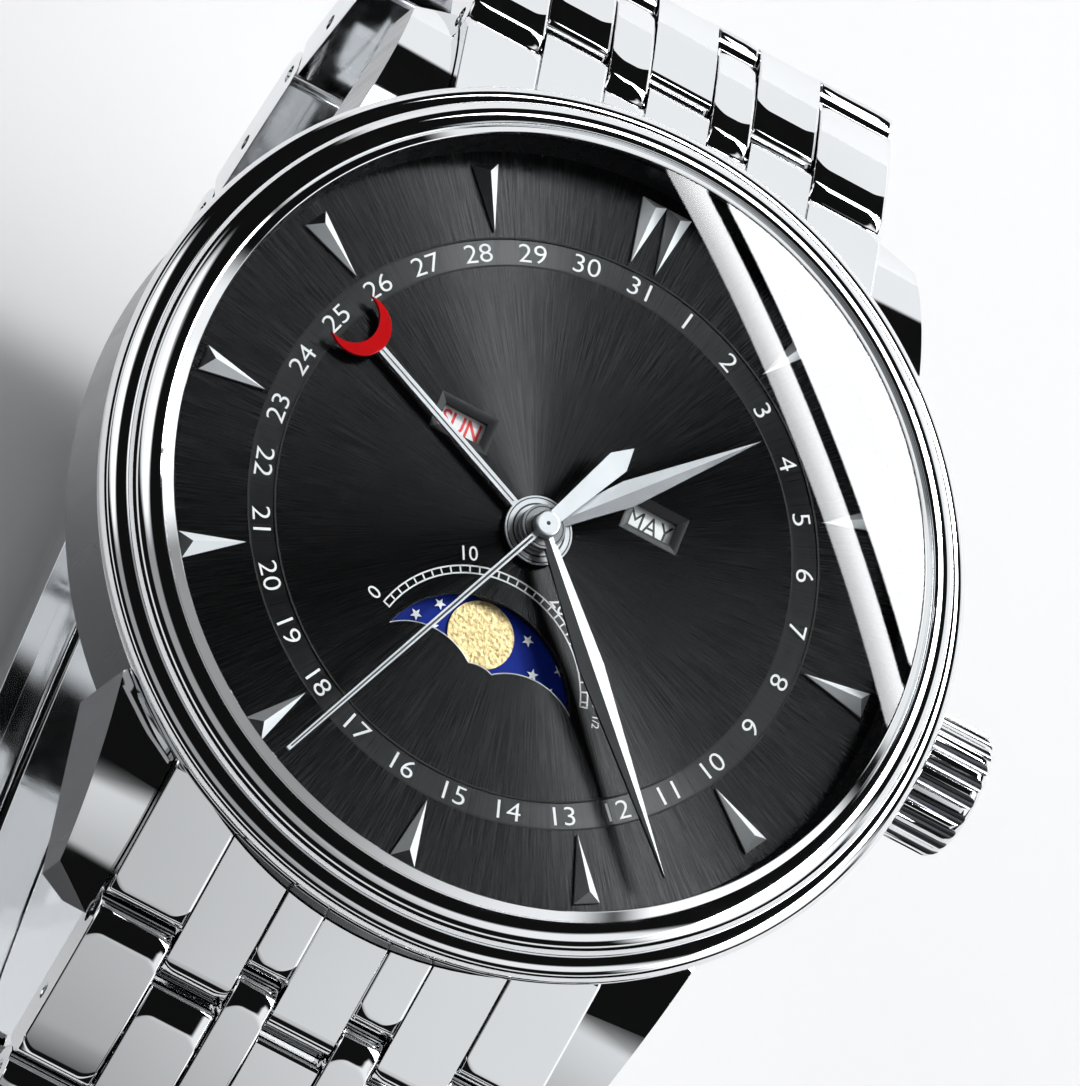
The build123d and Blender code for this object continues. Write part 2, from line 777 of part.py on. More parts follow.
barrel_at = place(barrel_reach, barrel_angle)
third_at = place(third_reach, third_angle)
escape_at = place(escape_reach, escape_angle)
balance_at = (balance_x, balance_y)
motion_at = place(motion_reach, motion_angle)
pillars_at = [place(pillar_reach, angle) for angle in pillar_angles]
cock_foot_at = (cock_foot_x, cock_foot_y)
pallet_at = (escape_at[0] + pallet_share * (balance_x - escape_at[0]),
             escape_at[1] + pallet_share * (balance_y - escape_at[1]))


def stack(*layers):
    """Round layers, each (x, y, radius, foot, top), joined in one piece."""
    with BuildPart() as piece:
        for x, y, radius, foot, top in layers:
            with BuildSketch(Plane.XY.offset(foot)):
                with Locations((x, y)):
                    Circle(radius)
            extrude(amount=top - foot)
    return piece


def bored(blank, *holes):
    """A piece with through holes, each (x, y, radius, foot, top)."""
    with BuildPart() as piece:
        add(blank.part)
        for x, y, radius, foot, top in holes:
            with BuildSketch(Plane.XY.offset(foot)):
                with Locations((x, y)):
                    Circle(radius)
            extrude(amount=top - foot, mode=Mode.SUBTRACT)
    return piece


# Main plate and calendar plate
pivot_hole = arbor_radius + running_gap
plate_span = (main_plate_foot - overrun, main_plate_top + overrun)
main_plate = bored(
    stack((0, 0, movement_radius, main_plate_foot, main_plate_top)),
    (0, 0, minute_tube_radius + running_gap, *plate_span), (*third_at, pivot_hole, *plate_span),
    (*escape_at, pivot_hole, *plate_span), (*balance_at, pivot_hole, *plate_span),
    (*pallet_at, pivot_hole, *plate_span), (*motion_at, pivot_hole, *plate_span),
    (*barrel_at, barrel_arbor_radius, *plate_span))
write_piece(main_plate, "main_plate")

plate_span = (calendar_plate_foot - overrun, calendar_plate_top + overrun)
disc_hole = disc_arbor_radius + running_gap
calendar_plate = bored(
    stack((0, 0, movement_radius, calendar_plate_foot, calendar_plate_top)),
    (0, 0, hour_tube_radius + running_gap, *plate_span), (*motion_at, pivot_hole, *plate_span),
    (-calendar_disc_x, window_y, disc_hole, *plate_span),
    (calendar_disc_x, window_y, disc_hole, *plate_span), (0, -aperture_y, disc_hole, *plate_span))
with BuildPart() as calendar_plate_seated:
    add(calendar_plate.part)
    with BuildSketch(Plane.XY.offset(main_plate_top)):
        Circle(movement_radius)
        Circle(movement_radius - boss_wall, mode=Mode.SUBTRACT)
    extrude(amount=calendar_plate_foot - main_plate_top)
write_piece(calendar_plate_seated, "calendar_plate")

# Train bridge on three pillars, cut away round the balance
bridge_span = (bridge_foot - overrun, bridge_top + overrun)
bridge_blank = stack((0, 0, bridge_radius, bridge_foot, bridge_top),
                     *[(x, y, pillar_radius, bridge_foot, main_plate_foot) for x, y in pillars_at])
bridge_holes = bored(
    bridge_blank, (*third_at, pivot_hole, *bridge_span), (*escape_at, pivot_hole, *bridge_span),
    (0, 0, pivot_hole, bridge_foot + pivot_overlap / 2, bridge_top + overrun),
    (*barrel_at, barrel_arbor_radius, *bridge_span),
    *[(x, y, screw_shank_radius, bridge_foot - overrun, bridge_foot + screw_length)
      for x, y in pillars_at])
cut_left = balance_x - balance_radius / 2
cut_right = cock_foot_x + balance_radius / 2
with BuildPart() as train_bridge:
    add(bridge_holes.part)
    with BuildSketch(Plane.XY.offset(bridge_foot)):
        with Locations(balance_at):
            Circle(balance_radius + face_gap)
        with Locations(((cut_left + cut_right) / 2, balance_y)):
            Rectangle(cut_right - cut_left, bridge_radius, align=(Align.CENTER, Align.MAX))
    extrude(amount=bridge_top - bridge_foot, mode=Mode.SUBTRACT)
    with BuildSketch(Plane.XY.offset(bridge_foot)):
        Circle(rotor_post_radius)
    extrude(amount=rotor_plate_foot - bridge_foot)
write_piece(train_bridge, "train_bridge")

# Balance cock: an arm from its foot to the balance's pivot
arm_turn = degrees(atan2(cock_foot_y - balance_y, cock_foot_x - balance_x))
arm_length = hypot(cock_foot_x - balance_x, cock_foot_y - balance_y)
arm_middle = ((cock_foot_x + balance_x) / 2, (cock_foot_y + balance_y) / 2)
with BuildPart() as cock_blank:
    with BuildSketch(Plane.XY.offset(bridge_foot)):
        with Locations(balance_at):
            Circle(cock_radius)
        with Locations(cock_foot_at):
            Circle(pillar_radius)
        with Locations(Location((*arm_middle, 0), (0, 0, arm_turn))):
            Rectangle(arm_length, 2 * pillar_radius)
    extrude(amount=bridge_top - bridge_foot)
    with BuildSketch(Plane.XY.offset(bridge_foot)):
        with Locations(cock_foot_at):
            Circle(pillar_radius)
    extrude(amount=main_plate_foot - bridge_foot)
balance_cock = bored(cock_blank, (*balance_at, pivot_hole, *bridge_span),
                     (*cock_foot_at, screw_shank_radius, bridge_foot - overrun,
                      bridge_foot + screw_length))
write_piece(balance_cock, "balance_cock")

# Barrel, its arbor and the mainspring
barrel_hollow = barrel_arbor_radius + running_gap
barrel_inside = (barrel_foot + barrel_wall, barrel_top - barrel_wall)
barrel = bored(stack((*barrel_at, barrel_radius, barrel_foot, barrel_top)),
               (*barrel_at, barrel_radius - 2 * barrel_wall, *barrel_inside),
               (*barrel_at, barrel_hollow, barrel_foot - overrun, barrel_top + overrun))
write_piece(barrel, "barrel")
spring_inside = (barrel_inside[0] + running_gap, barrel_inside[1] - running_gap)
mainspring = bored(stack((*barrel_at, barrel_radius - 2 * barrel_wall, *spring_inside)),
                   (*barrel_at, barrel_hollow + face_gap, *spring_inside))
write_piece(mainspring, "mainspring")
barrel_arbor = stack((*barrel_at, barrel_arbor_radius, bridge_foot, main_plate_top))
write_piece(barrel_arbor, "barrel_arbor")

# Centre wheel with the tube that carries the minute hand
tube_bore = seconds_arbor_radius + running_gap
centre_stack = stack(
    (0, 0, centre_wheel_radius, centre_wheel_foot, centre_wheel_foot + wheel_thickness),
    (0, 0, centre_pinion_radius, centre_wheel_foot, barrel_top),
    (0, 0, minute_tube_radius, centre_wheel_foot, minute_foot + hub_height),
    (0, 0, cannon_radius, minute_wheel_foot, minute_wheel_foot + motion_thickness))
centre_wheel = bored(centre_stack, (0, 0, tube_bore, centre_wheel_foot - overrun,
                                    minute_foot + hub_height + overrun))
write_piece(centre_wheel, "centre_wheel")

# Third wheel, fourth wheel with the seconds arbor, and escape wheel
pivot_foot = bridge_top - pivot_overlap
pivot_top = main_plate_foot + pivot_overlap
third_wheel = stack(
    (*third_at, third_wheel_radius, third_wheel_foot, third_wheel_foot + wheel_thickness),
    (*third_at, third_pinion_radius, centre_wheel_foot - running_gap,
     centre_wheel_foot + pinion_height),
    (*third_at, arbor_radius, pivot_foot, pivot_top))
write_piece(third_wheel, "third_wheel")
fourth_wheel = stack(
    (0, 0, fourth_wheel_radius, fourth_wheel_foot, fourth_wheel_foot + wheel_thickness),
    (0, 0, fourth_pinion_radius, fourth_wheel_foot, third_wheel_foot + pinion_height),
    (0, 0, seconds_arbor_radius, pivot_foot + pivot_overlap / 2, seconds_foot + seconds_plate))
write_piece(fourth_wheel, "fourth_wheel")
with BuildPart() as escape_wheel:
    with BuildSketch(Plane.XY.offset(escape_wheel_foot)):
        with Locations(escape_at):
            Circle(escape_wheel_radius - pallet_width)
            with PolarLocations(escape_wheel_radius - pallet_width, escape_tooth_count):
                Triangle(a=pallet_width, b=2 * pallet_width, c=2 * pallet_width,
                         align=(Align.CENTER, Align.CENTER), rotation=-90)
    extrude(amount=pallet_thickness)
    with BuildSketch(Plane.XY.offset(fourth_wheel_foot)):
        with Locations(escape_at):
            Circle(escape_pinion_radius)
    extrude(amount=escape_wheel_foot - fourth_wheel_foot)
    with BuildSketch(Plane.XY.offset(pivot_foot)):
        with Locations(escape_at):
            Circle(arbor_radius)
    extrude(amount=pivot_top - pivot_foot)
write_piece(escape_wheel, "escape_wheel")

# Pallet fork between the escape wheel and the balance
fork_turn = degrees(atan2(balance_y - escape_at[1], balance_x - escape_at[0]))
fork_foot = escape_wheel_foot + pallet_thickness + running_gap
with BuildPart() as pallet_fork:
    with BuildSketch(Plane.XY.offset(fork_foot)):
        with Locations(Location((*pallet_at, 0), (0, 0, fork_turn))):
            with Locations((pallet_arm / 2, 0)):
                Rectangle(pallet_arm, pallet_width)
            Rectangle(pallet_width, 2 * pallet_arm)
    extrude(amount=pallet_thickness)
    with BuildSketch(Plane.XY.offset(fork_foot)):
        with Locations(pallet_at):
            Circle(arbor_radius)
    extrude(amount=pivot_top - fork_foot)
write_piece(pallet_fork, "pallet_fork")

# Balance wheel with two arms, and its hairspring
with BuildPart() as balance_wheel:
    with BuildSketch(Plane.XY.offset(balance_foot)):
        with Locations(balance_at):
            Circle(balance_radius)
            Circle(balance_radius - balance_rim_width, mode=Mode.SUBTRACT)
            Rectangle(2 * balance_radius - balance_rim_width, balance_rim_width)
            Circle(balance_hub_radius)
    extrude(amount=balance_height)
    with BuildSketch(Plane.XY.offset(pivot_foot)):
        with Locations(balance_at):
            Circle(arbor_radius)
    extrude(amount=pivot_top - pivot_foot)
write_piece(balance_wheel, "balance_wheel")
hairspring = bored(
    stack((*balance_at, hairspring_radius, hairspring_foot, hairspring_foot + hairspring_height)),
    (*balance_at, arbor_radius, hairspring_foot, hairspring_foot + hairspring_height))
write_piece(hairspring, "hairspring")

# Motion works: minute wheel and hour wheel with its tube
minute_wheel = stack(
    (*motion_at, minute_wheel_radius, minute_wheel_foot, minute_wheel_foot + motion_thickness),
    (*motion_at, minute_pinion_radius, minute_wheel_foot, hour_wheel_foot + motion_thickness),
    (*motion_at, arbor_radius, main_plate_top - pivot_overlap, calendar_plate_foot + pivot_overlap))
write_piece(minute_wheel, "minute_wheel")
hour_wheel = bored(
    stack((0, 0, hour_wheel_radius, hour_wheel_foot, hour_wheel_foot + motion_thickness),
          (0, 0, hour_tube_radius, hour_wheel_foot, hour_foot + hub_height)),
    (0, 0, minute_tube_radius + running_gap, hour_wheel_foot - overrun, hour_foot + hub_height))
write_piece(hour_wheel, "hour_wheel")

# Rotor: a half disc with a heavy rim, on a post of the bridge
with BuildPart() as rotor:
    with BuildSketch(Plane.XY.offset(rotor_plate_foot)):
        Circle(rotor_radius)
        with Locations((0, rotor_radius)):
            Rectangle(2 * rotor_radius, 2 * rotor_radius, mode=Mode.SUBTRACT)
        Circle(rotor_hub_radius)
    extrude(amount=rotor_top - rotor_plate_foot)
    with BuildSketch(Plane.XY.offset(rotor_rim_foot)):
        Circle(rotor_radius)
        Circle(rotor_radius - rotor_rim_width, mode=Mode.SUBTRACT)
        with Locations((0, rotor_radius)):
            Rectangle(2 * rotor_radius, 2 * rotor_radius, mode=Mode.SUBTRACT)
    extrude(amount=rotor_top - rotor_rim_foot)
    with BuildSketch(Plane.XY.offset(rotor_plate_foot)):
        Circle(rotor_post_radius + running_gap)
    extrude(amount=rotor_top - rotor_plate_foot, mode=Mode.SUBTRACT)
write_piece(rotor, "rotor")


def screw(x, y, seat, radius, head_height, shank_radius, length):
    """A slotted screw whose head lies under a seat, with its shank upwards."""
    with BuildPart() as piece:
        with BuildSketch(Plane.XY.offset(seat - head_height)):
            with Locations((x, y)):
                Circle(radius)
        extrude(amount=head_height)
        with BuildSketch(Plane.XY.offset(seat)):
            with Locations((x, y)):
                Circle(shank_radius)
        extrude(amount=length)
        with BuildSketch(Plane.XY.offset(seat - head_height)):
            with Locations((x, y)):
                Rectangle(2 * radius + overrun, screw_slot_width)
        extrude(amount=screw_slot_depth, mode=Mode.SUBTRACT)
    return piece.part


with BuildPart() as movement_screws:
    for x, y in [*pillars_at, cock_foot_at]:
        add(screw(x, y, bridge_foot, screw_head_radius, screw_head_height, screw_shank_radius,
                  screw_length))
    add(screw(0, 0, rotor_plate_foot - running_gap, rotor_screw_radius, rotor_screw_height,
              screw_shank_radius, running_gap))
write_piece(movement_screws, "movement_screws")

# Rows of the bracelet across its width: centre and half width of each row
row_starts = [sum(row_widths[:index]) - sum(row_widths) / 2 for index in range(len(row_widths))]
rows = [(start + width / 2, width / 2 - row_gap / 2) for start, width in zip(row_starts, row_widths)]
inner_rows = rows[1::2]
outer_rows = rows[0::2]
pin_half = sum(row_widths) / 2 - pin_inset


def link_plane(pivot, slope, side):
    """A plane at a pivot: local x runs down along the bracelet, local y points away from the wrist."""
    run = (0, side * cos(radians(slope)), -sin(radians(slope)))
    return Plane(origin=(0, side * pivot[0], pivot[1]), x_dir=run, z_dir=(side, 0, 0))


def outer_row_outline(length):
    """Side view of an outer row: round about its near pin, with a rolled edge at its far end."""
    far = length - link_half - link_gap
    with BuildLine() as outline:
        ThreePointArc((0, -link_half), (-link_half, 0), (0, link_half))
        ThreePointArc((0, link_half), (far / 2, link_half + link_crown), (far - link_edge, link_half))
        RadiusArc((far - link_edge, link_half), (far, link_half - link_edge), link_edge)
        Polyline((far, link_half - link_edge), (far, -link_half), (0, -link_half))
    return outline


def inner_row_outline(length):
    """Side view of an inner row: it starts past the near pin and is round about its far pin."""
    near = link_half + link_gap
    middle = (near + length) / 2
    with BuildLine() as outline:
        Polyline((length, -link_half), (near, -link_half), (near, link_half - link_edge))
        RadiusArc((near, link_half - link_edge), (near + link_edge, link_half), link_edge)
        ThreePointArc((near + link_edge, link_half), (middle, link_half + link_crown),
                      (length, link_half))
        ThreePointArc((length, link_half), (length + link_half, 0), (length, -link_half))
    return outline


def row_solid(plane, outline, row, holes):
    """One piece of a link, with its pin holes as (distance along the link, radius)."""
    centre, half = row
    row_plane = plane.offset(centre * plane.z_dir.X - half)
    with BuildPart() as piece:
        with BuildSketch(row_plane):
            make_face(outline.line.edges())
            for distance, radius in holes:
                with Locations((distance, 0)):
                    Circle(radius, mode=Mode.SUBTRACT)
        extrude(amount=2 * half)
    return piece.part


def cross_pin(plane, distance, radius, half_length):
    """A pin across the bracelet."""
    with BuildPart() as piece:
        with BuildSketch(plane.offset(-half_length)):
            with Locations((distance, 0)):
                Circle(radius)
        extrude(amount=2 * half_length)
    return piece.part


def link_pieces(pivot, slope, side, last):
    """A link: four outer rows, three inner rows, the pin of its near hinge and its fixing pin."""
    plane = link_plane(pivot, slope, side)
    middle = link_pitch / 2
    outer_outline = outer_row_outline(link_pitch)
    inner_outline = inner_row_outline(link_pitch)
    far_hole = link_pin_radius if last else link_pin_radius + running_gap
    outer_holes = [(0, link_pin_radius), (middle, fixing_pin_radius)]
    inner_holes = [(middle, fixing_pin_radius), (link_pitch, far_hole)]
    pieces = [row_solid(plane, outer_outline, row, outer_holes) for row in outer_rows]
    pieces += [row_solid(plane, inner_outline, row, inner_holes) for row in inner_rows]
    pieces.append(cross_pin(plane, 0, link_pin_radius, pin_half))
    pieces.append(cross_pin(plane, middle, fixing_pin_radius, pin_half))
    if last:
        pieces.append(cross_pin(plane, link_pitch, link_pin_radius, pin_half))
    return pieces


def follow(pivot, slope):
    """The next pivot down the bracelet."""
    return (pivot[0] + link_pitch * cos(radians(slope)), pivot[1] - link_pitch * sin(radians(slope)))


pivots = [(first_pin_y, first_pin_z)]
for slope in link_slopes:
    pivots.append(follow(pivots[-1], slope))
print("bracelet pivots (y, z):", [(round(y, 3), round(z, 3)) for y, z in pivots])

for side, clock in ((1, "12"), (-1, "6")):
    for number, slope in enumerate(link_slopes, start=1):
        final = side < 0 and number == len(link_slopes)
        pieces = link_pieces(pivots[number - 1], slope, side, final)
        write_group(pieces, f"link_{clock}_{number}")

# End links between the lugs, hollowed to the case wall
for side, clock in ((1, "12"), (-1, "6")):
    plane = link_plane(pivots[0], end_link_slope, side)
    hole = link_pin_radius + running_gap
    start = -end_link_start
    with BuildPart() as end_link:
        for rows_here, far in ((outer_rows, -link_half - link_gap), (inner_rows, 0)):
            for centre, half in rows_here:
                with BuildSketch(plane.offset(centre * side - half - row_gap / 2)):
                    with BuildLine():
                        if far < 0:
                            Polyline((far, link_half - link_edge), (far, -link_half),
                                     (start, -link_half), (start, link_half),
                                     (far - link_edge, link_half))
                            RadiusArc((far - link_edge, link_half), (far, link_half - link_edge),
                                      link_edge)
                        else:
                            Polyline((0, -link_half), (start, -link_half), (start, link_half),
                                     (0, link_half))
                            ThreePointArc((0, link_half), (link_half, 0), (0, -link_half))
                    make_face()
                extrude(amount=2 * half + row_gap)
        for centre, half in inner_rows:
            for edge in (-1, 1):
                groove = centre * side + edge * (half + row_gap / 2)
                with BuildSketch(plane.offset(groove - row_gap / 2)):
                    with Locations((start / 2, link_half)):
                        Rectangle(-start + 4 * link_half, 2 * link_edge)
                extrude(amount=row_gap, mode=Mode.SUBTRACT)
                with BuildSketch(plane.offset(groove - row_gap / 2)):
                    with Locations((0, 0)):
                        Rectangle(2 * link_half + 2 * link_gap, 2 * link_half + overrun)
                extrude(amount=row_gap, mode=Mode.SUBTRACT)
        with BuildSketch(plane.offset(-lug_gap_half)):
            Circle(hole)
        extrude(amount=2 * lug_gap_half, mode=Mode.SUBTRACT)
        with BuildSketch(Plane.YZ.offset(-lug_gap_half)):
            with Locations((side * spring_bar_y, spring_bar_z)):
                Circle(spring_bar_radius)
        extrude(amount=2 * lug_gap_half, mode=Mode.SUBTRACT)
        with BuildSketch(Plane.XY.offset(-dial_top)):
            Circle(case_radius + end_link_case_gap)
        extrude(amount=3 * dial_top, mode=Mode.SUBTRACT)
        with BuildSketch(Plane.XY.offset(bezel_seat - end_link_case_gap)):
            Circle(bezel_radius + end_link_case_gap)
        extrude(amount=2 * dial_top, mode=Mode.SUBTRACT)
    write_piece(end_link, f"end_link_{clock}")

with BuildPart() as spring_bars:
    bar_half = lug_gap_half - face_gap
    for side in (1, -1):
        for radius, half in ((spring_bar_radius, bar_half),
                             (spring_bar_tip_radius, lug_gap_half + spring_bar_tip_length)):
            with BuildSketch(Plane.YZ.offset(-half)):
                with Locations((side * spring_bar_y, spring_bar_z)):
                    Circle(radius)
            extrude(amount=2 * half)
write_piece(spring_bars, "spring_bars")

# Folding clasp on an arc through the two last pivots
last_y, last_z = pivots[-1]
arc_radius = last_y / sin(radians(clasp_turn))
arc_height = last_z + arc_radius * cos(radians(clasp_turn))


def arc_point(radius, y):
    """A point of the clasp's side view at a radius about the arc's centre."""
    return (y, arc_height - (radius ** 2 - y ** 2) ** 0.5)


def band(inner, outer, start_y, end_y):
    """A closed side-view outline between two radii and two places along the clasp."""
    middle_y = (start_y + end_y) / 2
    with BuildLine() as outline:
        ThreePointArc(arc_point(inner, start_y), arc_point(inner, middle_y), arc_point(inner, end_y))
        Line(arc_point(inner, end_y), arc_point(outer, end_y))
        ThreePointArc(arc_point(outer, end_y), arc_point(outer, middle_y), arc_point(outer, start_y))
        Line(arc_point(outer, start_y), arc_point(inner, start_y))
    return outline


cover_outer = arc_radius + link_half
cover_inner = cover_outer - clasp_plate
wall_inner = arc_radius - clasp_wall_reach
blade_outer = arc_radius - blade_rise
blade_inner = blade_outer - blade_depth
pin_circle = (blade_outer + blade_inner) / 2
hinge_a = arc_point(pin_circle, hinge_a_inset - last_y)
hinge_b = arc_point(pin_circle, last_y - hinge_b_inset)
cover_far_y = cover_end_inset - last_y
cover_near_y = last_y - link_half - link_gap
print("clasp hinges (y, z):", hinge_a, hinge_b)


def slabs(outline, spans):
    """Solids with one side-view outline, one for each span (low x, high x)."""
    pieces = []
    for low, high in spans:
        with BuildPart() as piece:
            with BuildSketch(Plane.YZ.offset(low)):
                make_face(outline.line.edges())
            extrude(amount=high - low)
        pieces.append(piece.part)
    return pieces


def rounds(point, radius, spans):
    """Cylinders along X about a side-view point, one for each span (low x, high x)."""
    pieces = []
    for low, high in spans:
        with BuildPart() as piece:
            with BuildSketch(Plane.YZ.offset(low)):
                with Locations(point):
                    Circle(radius)
            extrude(amount=high - low)
        pieces.append(piece.part)
    return pieces


def shaped(solids, cuts):
    """One piece joined from solids, less its cuts."""
    with BuildPart() as piece:
        for solid in solids:
            add(solid)
        for cut in cuts:
            add(cut, mode=Mode.SUBTRACT)
    return piece


def both_sides(low, high):
    """The same span on both sides of the middle."""
    return [(low, high), (-high, -low)]


wall_span = both_sides(clasp_half_width - clasp_wall, clasp_half_width)
ear_low = rows[-1][0] - rows[-1][1]
ear_span = both_sides(ear_low, clasp_half_width)
rail_span = both_sides(blade_slot_half, blade_half_width)
button_low = button_y - button_length / 2
button_high = button_y + button_length / 2
button_top = cover_inner - running_gap
button_bottom = button_top - button_height

cover = shaped(
    slabs(band(cover_inner, cover_outer, cover_far_y, cover_near_y),
          [(-clasp_half_width, clasp_half_width)])
    + slabs(band(wall_inner, cover_outer, cover_far_y, cover_near_y), wall_span)
    + slabs(band(arc_radius - link_half, cover_outer, cover_near_y - link_half, last_y), ear_span)
    + rounds(pivots[-1], link_half, ear_span),
    rounds(pivots[-1], link_pin_radius, ear_span) + rounds(hinge_a, clasp_pin_radius, wall_span)
    + slabs(band(button_bottom - running_gap, cover_inner, button_low - running_gap,
                 button_high + running_gap), wall_span))
pin_reach = blade_slot_half + face_gap
cover_pins = rounds(pivots[-1], link_pin_radius, [(-clasp_half_width, clasp_half_width)])
cover_pins += rounds(hinge_a, clasp_pin_radius, both_sides(pin_reach, clasp_half_width))
write_group([cover.part] + cover_pins, "clasp_cover")

# Middle blade: two rails joined by a thin floor, with an eye at each end
middle_blade = shaped(
    slabs(band(blade_inner, blade_outer, hinge_a[0], hinge_b[0]), rail_span)
    + slabs(band(blade_outer - blade_floor, blade_outer, hinge_a[0] + floor_inset,
                 hinge_b[0] - floor_inset), [(-blade_slot_half, blade_slot_half)])
    + rounds(hinge_a, blade_eye_radius, rail_span) + rounds(hinge_b, blade_eye_radius, rail_span),
    rounds(hinge_a, clasp_pin_radius + running_gap, rail_span)
    + rounds(hinge_b, clasp_pin_radius, rail_span))
blade_pin = rounds(hinge_b, clasp_pin_radius, [(-blade_half_width, blade_half_width)])
write_group([middle_blade.part] + blade_pin, "clasp_middle_blade")

# Inner blade: a strip that lies in the middle blade, with two tongues towards the last link
blade_tip_y = blade_tip_inset - last_y
strip_span = [(-inner_blade_half, inner_blade_half)]
inner_blade = shaped(
    slabs(band(blade_inner, blade_inner + inner_blade_depth, blade_tip_y, hinge_b[0]), strip_span)
    + slabs(band(blade_inner, blade_inner + inner_blade_depth, blade_tip_y - tongue_length,
                 blade_tip_y), both_sides(tongue_inner, tongue_outer))
    + rounds(hinge_b, blade_eye_radius, strip_span),
    rounds(hinge_b, clasp_pin_radius + running_gap, strip_span))
write_piece(inner_blade, "clasp_inner_blade")

# Two push buttons in the side walls of the cover, each held in by its flange
for side, name in ((1, "right"), (-1, "left")):
    wall_face = clasp_half_width - clasp_wall - running_gap
    solids = []
    for low, high, extra in ((wall_face - button_flange, wall_face, button_flange),
                             (wall_face, clasp_half_width + button_proud, 0)):
        span = (low, high) if side > 0 else (-high, -low)
        solids += slabs(band(button_bottom - extra, button_top, button_low - extra,
                             button_high + extra), [span])
    button = shaped(solids, [])
    write_piece(button, f"clasp_button_{name}")
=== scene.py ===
import json
from math import atan2, cos, degrees, pi, radians, sin, sqrt

import bmesh
import bpy
from mathutils import Matrix, Vector


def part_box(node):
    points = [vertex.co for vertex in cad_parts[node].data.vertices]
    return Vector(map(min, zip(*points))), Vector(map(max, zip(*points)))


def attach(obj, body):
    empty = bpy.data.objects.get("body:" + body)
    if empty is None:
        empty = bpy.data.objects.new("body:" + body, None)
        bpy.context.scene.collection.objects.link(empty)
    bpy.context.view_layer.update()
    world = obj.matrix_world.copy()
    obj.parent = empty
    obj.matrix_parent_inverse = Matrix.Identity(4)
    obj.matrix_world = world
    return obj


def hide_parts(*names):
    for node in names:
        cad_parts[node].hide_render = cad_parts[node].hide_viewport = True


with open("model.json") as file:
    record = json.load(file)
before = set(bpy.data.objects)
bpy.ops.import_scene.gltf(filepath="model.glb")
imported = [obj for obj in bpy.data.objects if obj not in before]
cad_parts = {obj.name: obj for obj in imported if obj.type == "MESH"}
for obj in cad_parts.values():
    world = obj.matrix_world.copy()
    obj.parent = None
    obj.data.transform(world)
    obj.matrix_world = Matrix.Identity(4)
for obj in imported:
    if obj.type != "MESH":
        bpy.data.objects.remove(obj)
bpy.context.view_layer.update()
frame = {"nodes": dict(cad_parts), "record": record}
nodes = frame["nodes"]
bodies = frame["record"]["behaviour"]["bodies"]
body_of = {node: body for body, held in bodies.items() for node in held}

# Sizes and heights are in millimetres and angles in degrees; camera, floor and light stand in metres
MM = 0.001
dial_top = 7.6
print_thickness = 0.006

# Camera: a very long lens from above the 7 o'clock side
to_viewer = Vector((-0.2223, -0.3982, 0.8900)).normalized()
view_right = Vector((0.8624, 0.3454, 0.3700)).normalized()
view_up = to_viewer.cross(view_right).normalized()
photo_scale = 22.05
photo_width = 1080
photo_height = 1086
dial_in_photo = (535.6, 532.9)
camera_distance = 0.8

camera_data = bpy.data.cameras.new("camera")
camera_data.sensor_width = 36
camera_data.sensor_fit = "AUTO"
long_side = max(photo_width, photo_height)
camera_data.lens = photo_scale * camera_distance / MM * camera_data.sensor_width / long_side
camera_data.clip_start = 0.01
camera_data.clip_end = 10
camera = bpy.data.objects.new("camera", camera_data)
bpy.context.scene.collection.objects.link(camera)
off_right = (photo_width / 2 - dial_in_photo[0]) / photo_scale * MM
off_up = (dial_in_photo[1] - photo_height / 2) / photo_scale * MM
aim = Vector((0, 0, dial_top * MM)) + view_right * off_right + view_up * off_up
turn = Matrix((view_right, view_up, to_viewer)).transposed()
camera.matrix_world = Matrix.Translation(aim + to_viewer * camera_distance) @ turn.to_4x4()
bpy.context.scene.camera = camera


def new_material(name):
    """A material, its node tree and its shader."""
    material = bpy.data.materials.new(name)
    material.use_nodes = True
    tree = material.node_tree
    return material, tree, tree.nodes["Principled BSDF"]


def add_node(tree, kind, **settings):
    node = tree.nodes.new(kind)
    for key, value in settings.items():
        setattr(node, key, value)
    return node


def arithmetic(tree, operation, *values):
    """One calculation with numbers and sockets."""
    node = add_node(tree, "ShaderNodeMath", operation=operation)
    for socket, value in zip(node.inputs, values):
        if isinstance(value, (int, float)):
            socket.default_value = value
        else:
            tree.links.new(value, socket)
    return node.outputs["Value"]


def object_place(tree, scale=(1, 1, 1)):
    """Object coordinates, stretched for a pattern."""
    place = add_node(tree, "ShaderNodeTexCoord")
    mapping = add_node(tree, "ShaderNodeMapping")
    mapping.inputs["Scale"].default_value = scale
    tree.links.new(place.outputs["Object"], mapping.inputs["Vector"])
    return mapping.outputs["Vector"]


def parts_of(tree, vector):
    """The three parts of a vector."""
    parts = add_node(tree, "ShaderNodeSeparateXYZ")
    tree.links.new(vector, parts.inputs["Vector"])
    return parts.outputs


def noise_at(tree, place, scale, detail=3.0, roughness=0.5):
    noise = add_node(tree, "ShaderNodeTexNoise")
    noise.inputs["Scale"].default_value = scale
    noise.inputs["Detail"].default_value = detail
    noise.inputs["Roughness"].default_value = roughness
    tree.links.new(place, noise.inputs["Vector"])
    return noise.outputs["Fac"]


def spread(tree, noise, low, high):
    """The middle part of a noise, stretched to the range low to high."""
    node = add_node(tree, "ShaderNodeMapRange")
    node.inputs["From Min"].default_value = 0.3
    node.inputs["From Max"].default_value = 0.7
    node.inputs["To Min"].default_value = low
    node.inputs["To Max"].default_value = high
    tree.links.new(noise, node.inputs["Value"])
    return node.outputs["Result"]


def bump_from(tree, shader, value, strength, depth):
    """Bumps of a depth in millimetres."""
    node = add_node(tree, "ShaderNodeBump")
    node.inputs["Strength"].default_value = strength
    node.inputs["Distance"].default_value = depth * MM
    tree.links.new(value, node.inputs["Height"])
    tree.links.new(node.outputs["Normal"], shader.inputs["Normal"])


